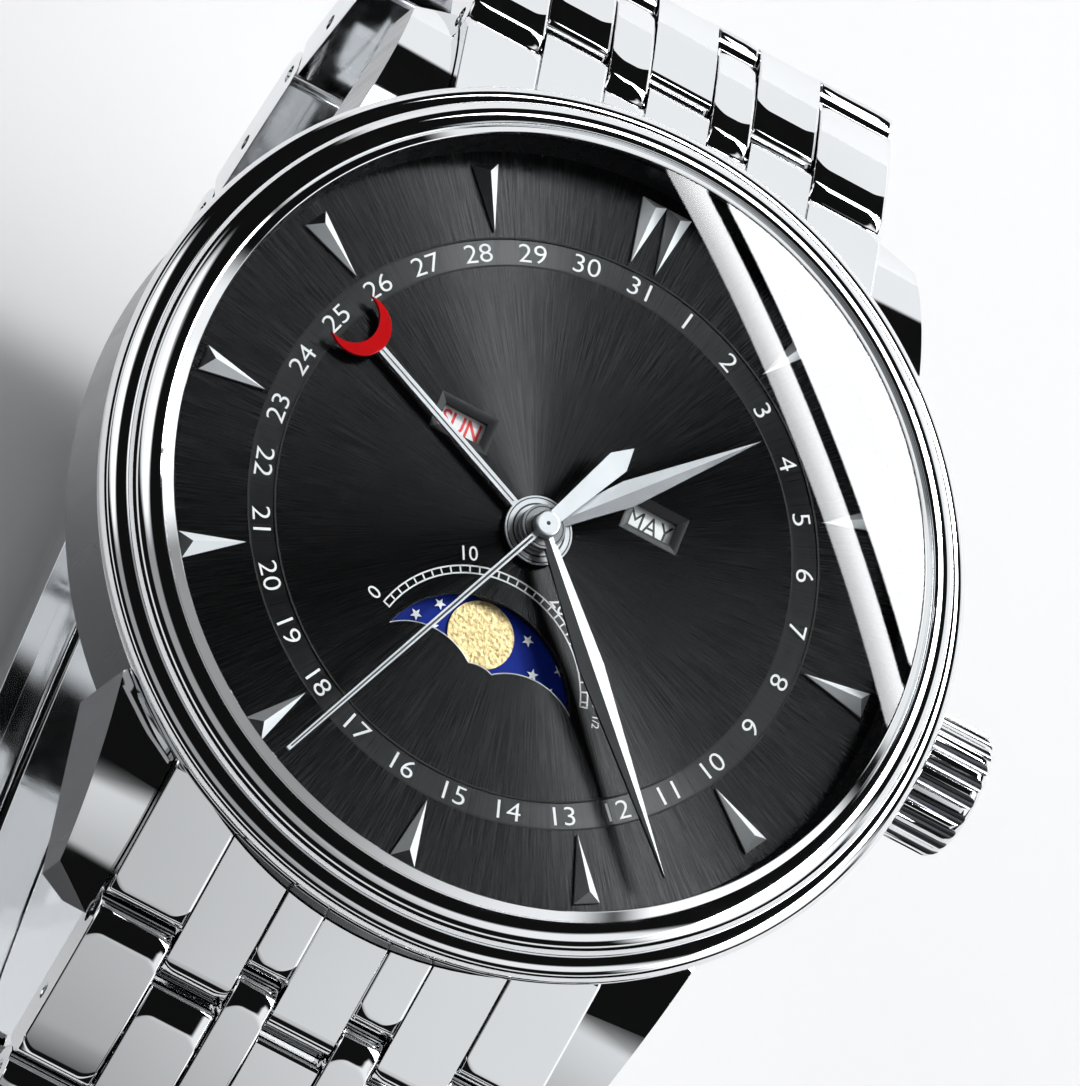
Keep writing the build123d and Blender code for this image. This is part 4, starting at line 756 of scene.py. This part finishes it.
# Faces deep in the flutes get the near black steel: painted shade in the grooves
finish_faces(refined("crown", polished_steel, angle=35, edge=0.09), in_flute, flute_painted_shade)
refined("case_back", polished_steel, angle=25)
refined("rehaut_ring", rehaut_black, angle=25)

# Dial, with the bevels around the two word windows darkened as painted shade
window_reach = (2.0, 8.0)


def window_bevel(polygon):
    """Whether a face of the dial belongs to the frame of a word window."""
    near, far = window_reach
    in_reach = near < polygon.center.xy.length / MM < far and polygon.center.y > 0
    return in_reach and abs(polygon.normal.z) < 0.97


finish_faces(refined("dial", dial_metal, angle=20), window_bevel, frame_painted_shade)

# Date numerals and their track: the upper numerals read outwards, the lower ones inwards
track_level = dial_top - 0.06
track_inner, track_outer, edge_width, band_thickness = 12.67, 13.88, 0.09, 0.002
numeral_radius, numeral_size = 13.27, 0.86
numeral_turn = 1
numerals = []
for day in range(1, 32):
    angle = day * 360 / 31 + numeral_turn
    x, y = dial_point(numeral_radius, angle)
    outwards = day >= 23 or day <= 7
    numerals.append(lettering(str(day), numeral_size, x, y, track_level,
                              angle if outwards else angle + 180, squeeze=1.18, weight=-0.008))
joined("date_numerals", numerals, print_white, "case")
track_band = flat_ring("date_track_band", track_inner, track_outer, track_level, band_thickness)
place_piece("date_track_band", track_band, track_metal, "case")
track_edges = [flat_ring("date_track_edges", inner, inner + edge_width, dial_top - 0.004,
                         print_thickness)
               for inner in (track_inner - edge_width, track_outer)]
joined("date_track_edges", track_edges, track_edge, "case")

# Edges of the moon opening, along the same arcs as the opening: steel below, and above a near black edge
# that is painted shade of the opening's wall
rim_radius, rim_level = 0.035, dial_top - 0.02
left_corner, right_corner = (-4.72, -7.27), (4.72, -7.27)
left_notch, right_notch = (-0.6, -7.23), (0.6, -7.23)
lower_edge = arc_through(right_corner, (2.45, -6.5), right_notch, 24)
lower_edge += arc_through(right_notch, (0, -7.11), left_notch, 8)
lower_edge += arc_through(left_notch, (-2.45, -6.5), left_corner, 24) + [left_corner]
painted_shade_edge = arc_through(left_corner, (0, -3.88), right_corner, 60) + [right_corner]
for name, line, material, slot in (("moon_opening_edge", lower_edge, hand_steel, "hand_steel"),
                                   ("moon_opening_painted_shade", painted_shade_edge, rehaut_black, "dial_paint")):
    joined(name, [tube_along(name, line, rim_radius, rim_level, material)], material, "case")

# Scale of the moon's age: two thin arcs with bars between them, like a ladder
scale_centre = -8.0
scale_inner, scale_outer = 5.15, 5.56
scale_half = 74.2
scale_line = 0.07
scale_days = 29.5
scale_bars = 30
scale_words = (("0", 0.68, -5.9, -6.3, -74), ("10", 0.68, -2.45, -2.4, -24),
               ("20", 0.68, 2.35, -2.6, 26), ("29", 0.55, 5.72, -6.05, 74), ("1/2", 0.36, 5.95, -6.95, 74))
bar_half = degrees(scale_line / 2 / scale_outer)
scale_parts = [
    scale_arc(scale_inner, scale_inner + scale_line, -scale_half, scale_half, 90),
    scale_arc(scale_outer - scale_line, scale_outer, -scale_half, scale_half, 90),
    bars_on_arc(scale_bars, (scale_inner + scale_outer) / 2, 90 + scale_half,
                (1 - scale_bars) * 2 * scale_half / scale_days,
                (scale_line, scale_outer - scale_inner, print_thickness),
                (0, scale_centre, dial_top + print_thickness / 2), print_white),
    scale_arc(scale_inner, scale_outer, scale_half - bar_half, scale_half + bar_half, 1)]
for word, size, x, y, angle in scale_words:
    scale_parts.append(lettering(word, size, x, y, dial_top, angle))
joined("moon_scale", scale_parts, print_white, "case")


def disc_top(node, x, y):
    """The height of a node's upper face above a point."""
    mesh = nodes[node].data
    heights = []
    for polygon in mesh.polygons:
        if polygon.normal.z < 0.9:
            continue
        corners = [mesh.vertices[index].co / MM for index in polygon.vertices]
        sides = zip(corners, corners[1:] + corners[:1])
        if all((b.x - a.x) * (y - a.y) - (b.y - a.y) * (x - a.x) >= -1e-9 for a, b in sides):
            heights.append(corners[0].z)
    return max(heights)


# Two moons, opposite each other on their disc, and stars on both halves of the sky
moon_pivot = -8.86
moon_place, moon_radius, moon_thickness = (-0.44, -5.55), 1.62, 0.03
star_size, star_waist, star_thickness = 0.30, 0.42, 0.01
star_places = ((1.7, -4.7, 10), (2.5, -6.1, -12), (3.5, -6.5, 20), (-2.75, -5.1, 5), (-2.65, -6.25, -20),
               (3.6, -5.3, 8), (-3.6, -6.1, 14), (4.3, -8.4, 0), (3.0, -9.1, 25), (1.6, -8.1, -8))
sky_level = disc_top("moon_disc", *moon_place)
stars = []
for x, y, spin in star_places:
    stars.append(star_mesh(x, y, spin, sky_level))
    stars.append(star_mesh(-x, 2 * moon_pivot - y, spin + 180, sky_level))
joined("stars", stars, star_white, "moon")
moons = [disc_mesh("moon", moon_radius, x, y, sky_level, moon_thickness)
         for x, y in (moon_place, (-moon_place[0], 2 * moon_pivot - moon_place[1]))]
joined("moon_faces", moons, moon_gold, "moon")

# Words on the weekday and month discs, the first one of each under its window
window_y = 3.2
word_x = 5.0
disc_pivot_x = 8.5
weekdays = ("SUN", "MON", "TUE", "WED", "THU", "FRI", "SAT")
months = ("MAY", "JUN", "JUL", "AUG", "SEP", "OCT", "NOV", "DEC", "JAN", "FEB", "MAR", "APR")


def words_around(words, node, side, size, shift, squeeze, weight):
    """Words set out around a calendar disc."""
    level = disc_top(node, side * word_x, window_y)
    pivot = Matrix.Translation((side * disc_pivot_x * MM, window_y * MM, 0))
    placed = []
    for number, word in enumerate(words):
        mesh = lettering(word, size, side * word_x, window_y + shift, level, squeeze=squeeze,
                         weight=weight)
        mesh.transform(pivot @ Matrix.Rotation(2 * pi * number / len(words), 4, "Z") @ pivot.inverted())
        placed.append(mesh)
    return placed


day_words = words_around(weekdays, "day_disc", -1, size=0.94, shift=0.02, squeeze=0.82, weight=0.016)
joined("day_word", day_words[:1], print_red, "day")
joined("weekday_words", day_words[1:], print_black, "day")
month_words = words_around(months, "month_disc", 1, size=0.92, shift=-0.03, squeeze=0.84, weight=0.0)
joined("month_words", month_words, print_black, "month")

# Hands and markers: lighter and darker copies of the steel by facet, as painted light and shade, and a red
# moon on the date hand
date_stem_end = 10.7
flat_top = 0.9995
facet_low, facet_high = 0.3, 0.97
hour_shade_span = (210, 360)
# Facet directions that get painted light and shade on the markers, counter-clockwise from 3 o'clock
end_facet_spread = 60
end_facet_shade_span = (100, 290)
side_facet_grey, side_facet_dark, side_facet_bright = 125, 190, 225
bright, grey, dark = range(3)


def direction_of(vector):
    """The direction of a vector in the dial plane, counter-clockwise from 3 o'clock."""
    return degrees(atan2(vector.y, vector.x)) % 360


def hour_tone(polygon):
    """The hour hand's facets turned to 3 and 6 o'clock get painted shade."""
    in_dark = hour_shade_span[0] < direction_of(polygon.normal) < hour_shade_span[1]
    return in_dark and facet_low < polygon.normal.z < flat_top


def minute_tone(polygon):
    """The minute hand's facets right of its middle line get a deeper painted shade."""
    return facet_low < polygon.normal.z < flat_top and polygon.normal.x > 0


def marker_tone(polygon):
    """The painted light and shade of a marker's facet, by the way that it faces."""
    facing = direction_of(polygon.normal)
    off_outward = (facing - direction_of(polygon.center) + 180) % 360 - 180
    left_of_pair = polygon.center.y > 0 and -1.5 < polygon.center.x / MM < 0
    if not facet_low < polygon.normal.z < facet_high:
        return grey
    if abs(off_outward) < end_facet_spread:
        return dark if end_facet_shade_span[0] < facing < end_facet_shade_span[1] else grey
    if side_facet_grey < facing < side_facet_bright and not left_of_pair:
        return grey if facing < side_facet_dark else dark
    return bright


date_hand = refined("date_hand", hand_steel, edge=0.05)
finish_faces(date_hand, lambda polygon: polygon.center.xy.length / MM > date_stem_end, hand_red)
finish_faces(refined("hour_hand", hand_steel, angle=20), hour_tone, hour_hand_painted_shade)
finish_faces(refined("minute_hand", minute_shaded_left, angle=20), minute_tone, minute_shaded_right)
finish_faces(refined("hour_markers", marker_painted_light, angle=15), marker_tone, marker_painted_half_shade, marker_painted_shade)

# Grooves along the hands and rings on their hubs, drawn as near black strips of painted shade at the
# hands' upper faces and rest angles
groove_thickness = 0.004
seconds_angle, date_angle = 204.6, 293.5
seconds_top = dial_top + 1.36
minute_hub_top = dial_top + 1.12
date_top = dial_top + 0.44
cap_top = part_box("seconds_hand")[1].z / MM


def hub_ring(inner, outer, level):
    return flat_ring("hub_ring", inner, outer, level, groove_thickness, 96)


for name, meshes, body in (
        ("seconds_groove_painted_shade", [strip(0.9, 17.0, 0.055, 0.035, seconds_angle, seconds_top)], "seconds"),
        ("date_stem_painted_shade", [strip(1.75, 11.2, 0.035, 0.035, date_angle, date_top)], "date"),
        ("hub_ring_date", [hub_ring(1.50, 1.56, date_top), hub_ring(1.20, 1.29, date_top)], "date"),
        ("hub_ring_minute", [hub_ring(0.90, 0.96, minute_hub_top)], "minute"),
        ("cap_pivot", [disc_mesh("cap_pivot", 0.10, 0, 0, cap_top - groove_thickness / 2,
                                 groove_thickness, 24)], "seconds")):
    joined(name, meshes, groove_painted_shade, body)

# Finishes of the nodes that are shown as they are
finishes = {
    hand_steel: ("seconds_hand",),
    sky_blue: ("moon_disc",),
    disc_white: ("day_disc", "month_disc"),
    seal_rubber: ("crystal_gasket", "case_back_gasket"),
    holder_plastic: ("movement_ring",),
    nickel_plate: ("main_plate", "calendar_plate", "train_bridge", "balance_cock", "barrel"),
    gilt_brass: ("centre_wheel", "third_wheel", "fourth_wheel", "minute_wheel", "hour_wheel",
                 "balance_wheel", "rotor"),
    movement_steel: ("mainspring", "hairspring", "spring_bars", "winding_stem", "setting_lever",
                     "barrel_arbor", "escape_wheel", "pallet_fork", "movement_screws"),
    satin_steel: ("crown_tube",),
}
for material, named in finishes.items():
    for node in named:
        nodes[node].data.materials.clear()
        nodes[node].data.materials.append(material)

# Floor
floor_level = -42.5 * MM
floor_half = 0.25
floor_mesh = bpy.data.meshes.new("floor")
floor_mesh.from_pydata([(-floor_half, -floor_half, floor_level), (floor_half, -floor_half, floor_level),
                        (floor_half, floor_half, floor_level), (-floor_half, floor_half, floor_level)],
                       [], [(0, 1, 2, 3)])
floor = bpy.data.objects.new("floor", floor_mesh)
bpy.context.scene.collection.objects.link(floor)
floor_paint, _, floor_shader = new_material("floor_pale")
floor_shader.inputs["Base Color"].default_value = (0.50, 0.50, 0.505, 1)
floor_shader.inputs["Roughness"].default_value = 0.7
floor_mesh.materials.append(floor_paint)

# Studio: a nearly black room with soft white panels
world = bpy.data.worlds.new("studio")
bpy.context.scene.world = world
world.use_nodes = True
world_tree = world.node_tree
background = world_tree.nodes["Background"]
looking = add_node(world_tree, "ShaderNodeTexCoord").outputs["Generated"]


def towards(direction, low, high):
    """A soft edge in the studio: 0 under low and 1 over high, measured along a direction."""
    measure = add_node(world_tree, "ShaderNodeVectorMath", operation="DOT_PRODUCT")
    measure.inputs[1].default_value = Vector(direction).normalized()
    world_tree.links.new(looking, measure.inputs[0])
    edge = add_node(world_tree, "ShaderNodeMapRange", interpolation_type="SMOOTHSTEP")
    edge.inputs["From Min"].default_value = low
    edge.inputs["From Max"].default_value = high
    world_tree.links.new(measure.outputs["Value"], edge.inputs["Value"])
    return edge.outputs["Result"]


def panel(brightness, *edges):
    """A soft white panel inside all its edges."""
    for edge in edges:
        brightness = arithmetic(world_tree, "MULTIPLY", brightness, edge)
    return brightness


def band(direction, low, high, soft):
    """The part of the studio between two limits along a direction, with soft edges."""
    return panel(towards(direction, low - soft, low + soft),
                 towards(direction, high + soft, high - soft))


def fade(direction, low, high, dim, full):
    """A slow change of brightness along a direction."""
    return arithmetic(world_tree, "ADD", dim, panel(full - dim, towards(direction, low, high)))


up = (0, 0, 1)
glare_side = (0.6175, 0.5156, -0.5940)
far_side = (0.487, 0.873, 0)
glare_height = band(up, 0.58, 0.86, 0.03)
beyond_watch = towards(far_side, 0.2, 0.25)
before_watch = towards(far_side, 0.25, 0.12)
panels = {
    "strip beside the glare": panel(1.0, band(glare_side, 0.0, 0.020, 0.001), glare_height,
                                    beyond_watch, fade(glare_side, 0.0, 0.020, 6.5, 12.5)),
    "glare on the crystal": panel(13.0, band(glare_side, 0.030, 0.33, 0.001), glare_height,
                                  beyond_watch),
    "high panel": panel(1.0, band(up, 0.56, 0.86, 0.03), before_watch,
                        fade((1, 0, 0.6), 0.25, 0.85, 0.35, 1.0)),
    "low panel": panel(0.9, band(up, 0.10, 0.22, 0.02), before_watch),
    "far panel": panel(1.0, band(up, -0.22, 0.17, 0.02), towards(far_side, 0.55, 0.65)),
    "right lamp": panel(1.3, towards((0.92, -0.15, 0.36), 0.92, 0.97)),
    "left lamp": panel(1.1, towards((-0.75, 0.25, 0.60), 0.90, 0.96)),
}
brightness = 0.006
for lit in panels.values():
    brightness = arithmetic(world_tree, "ADD", brightness, lit)
world_tree.links.new(brightness, background.inputs["Strength"])
background.inputs["Color"].default_value = (0.97, 0.985, 1.0, 1)

key_data = bpy.data.lights.new("light_key", "AREA")
key_data.size = 0.15
key_data.energy = 10
key = bpy.data.objects.new("light_key", key_data)
bpy.context.scene.collection.objects.link(key)
key_place = Vector((0.52, 0.60, 0.60)).normalized()
key_turn = key_place.to_track_quat("Z", "Y").to_matrix().to_4x4()
key.matrix_world = Matrix.Translation(key_place) @ key_turn

bpy.context.scene.view_settings.view_transform = "Standard"
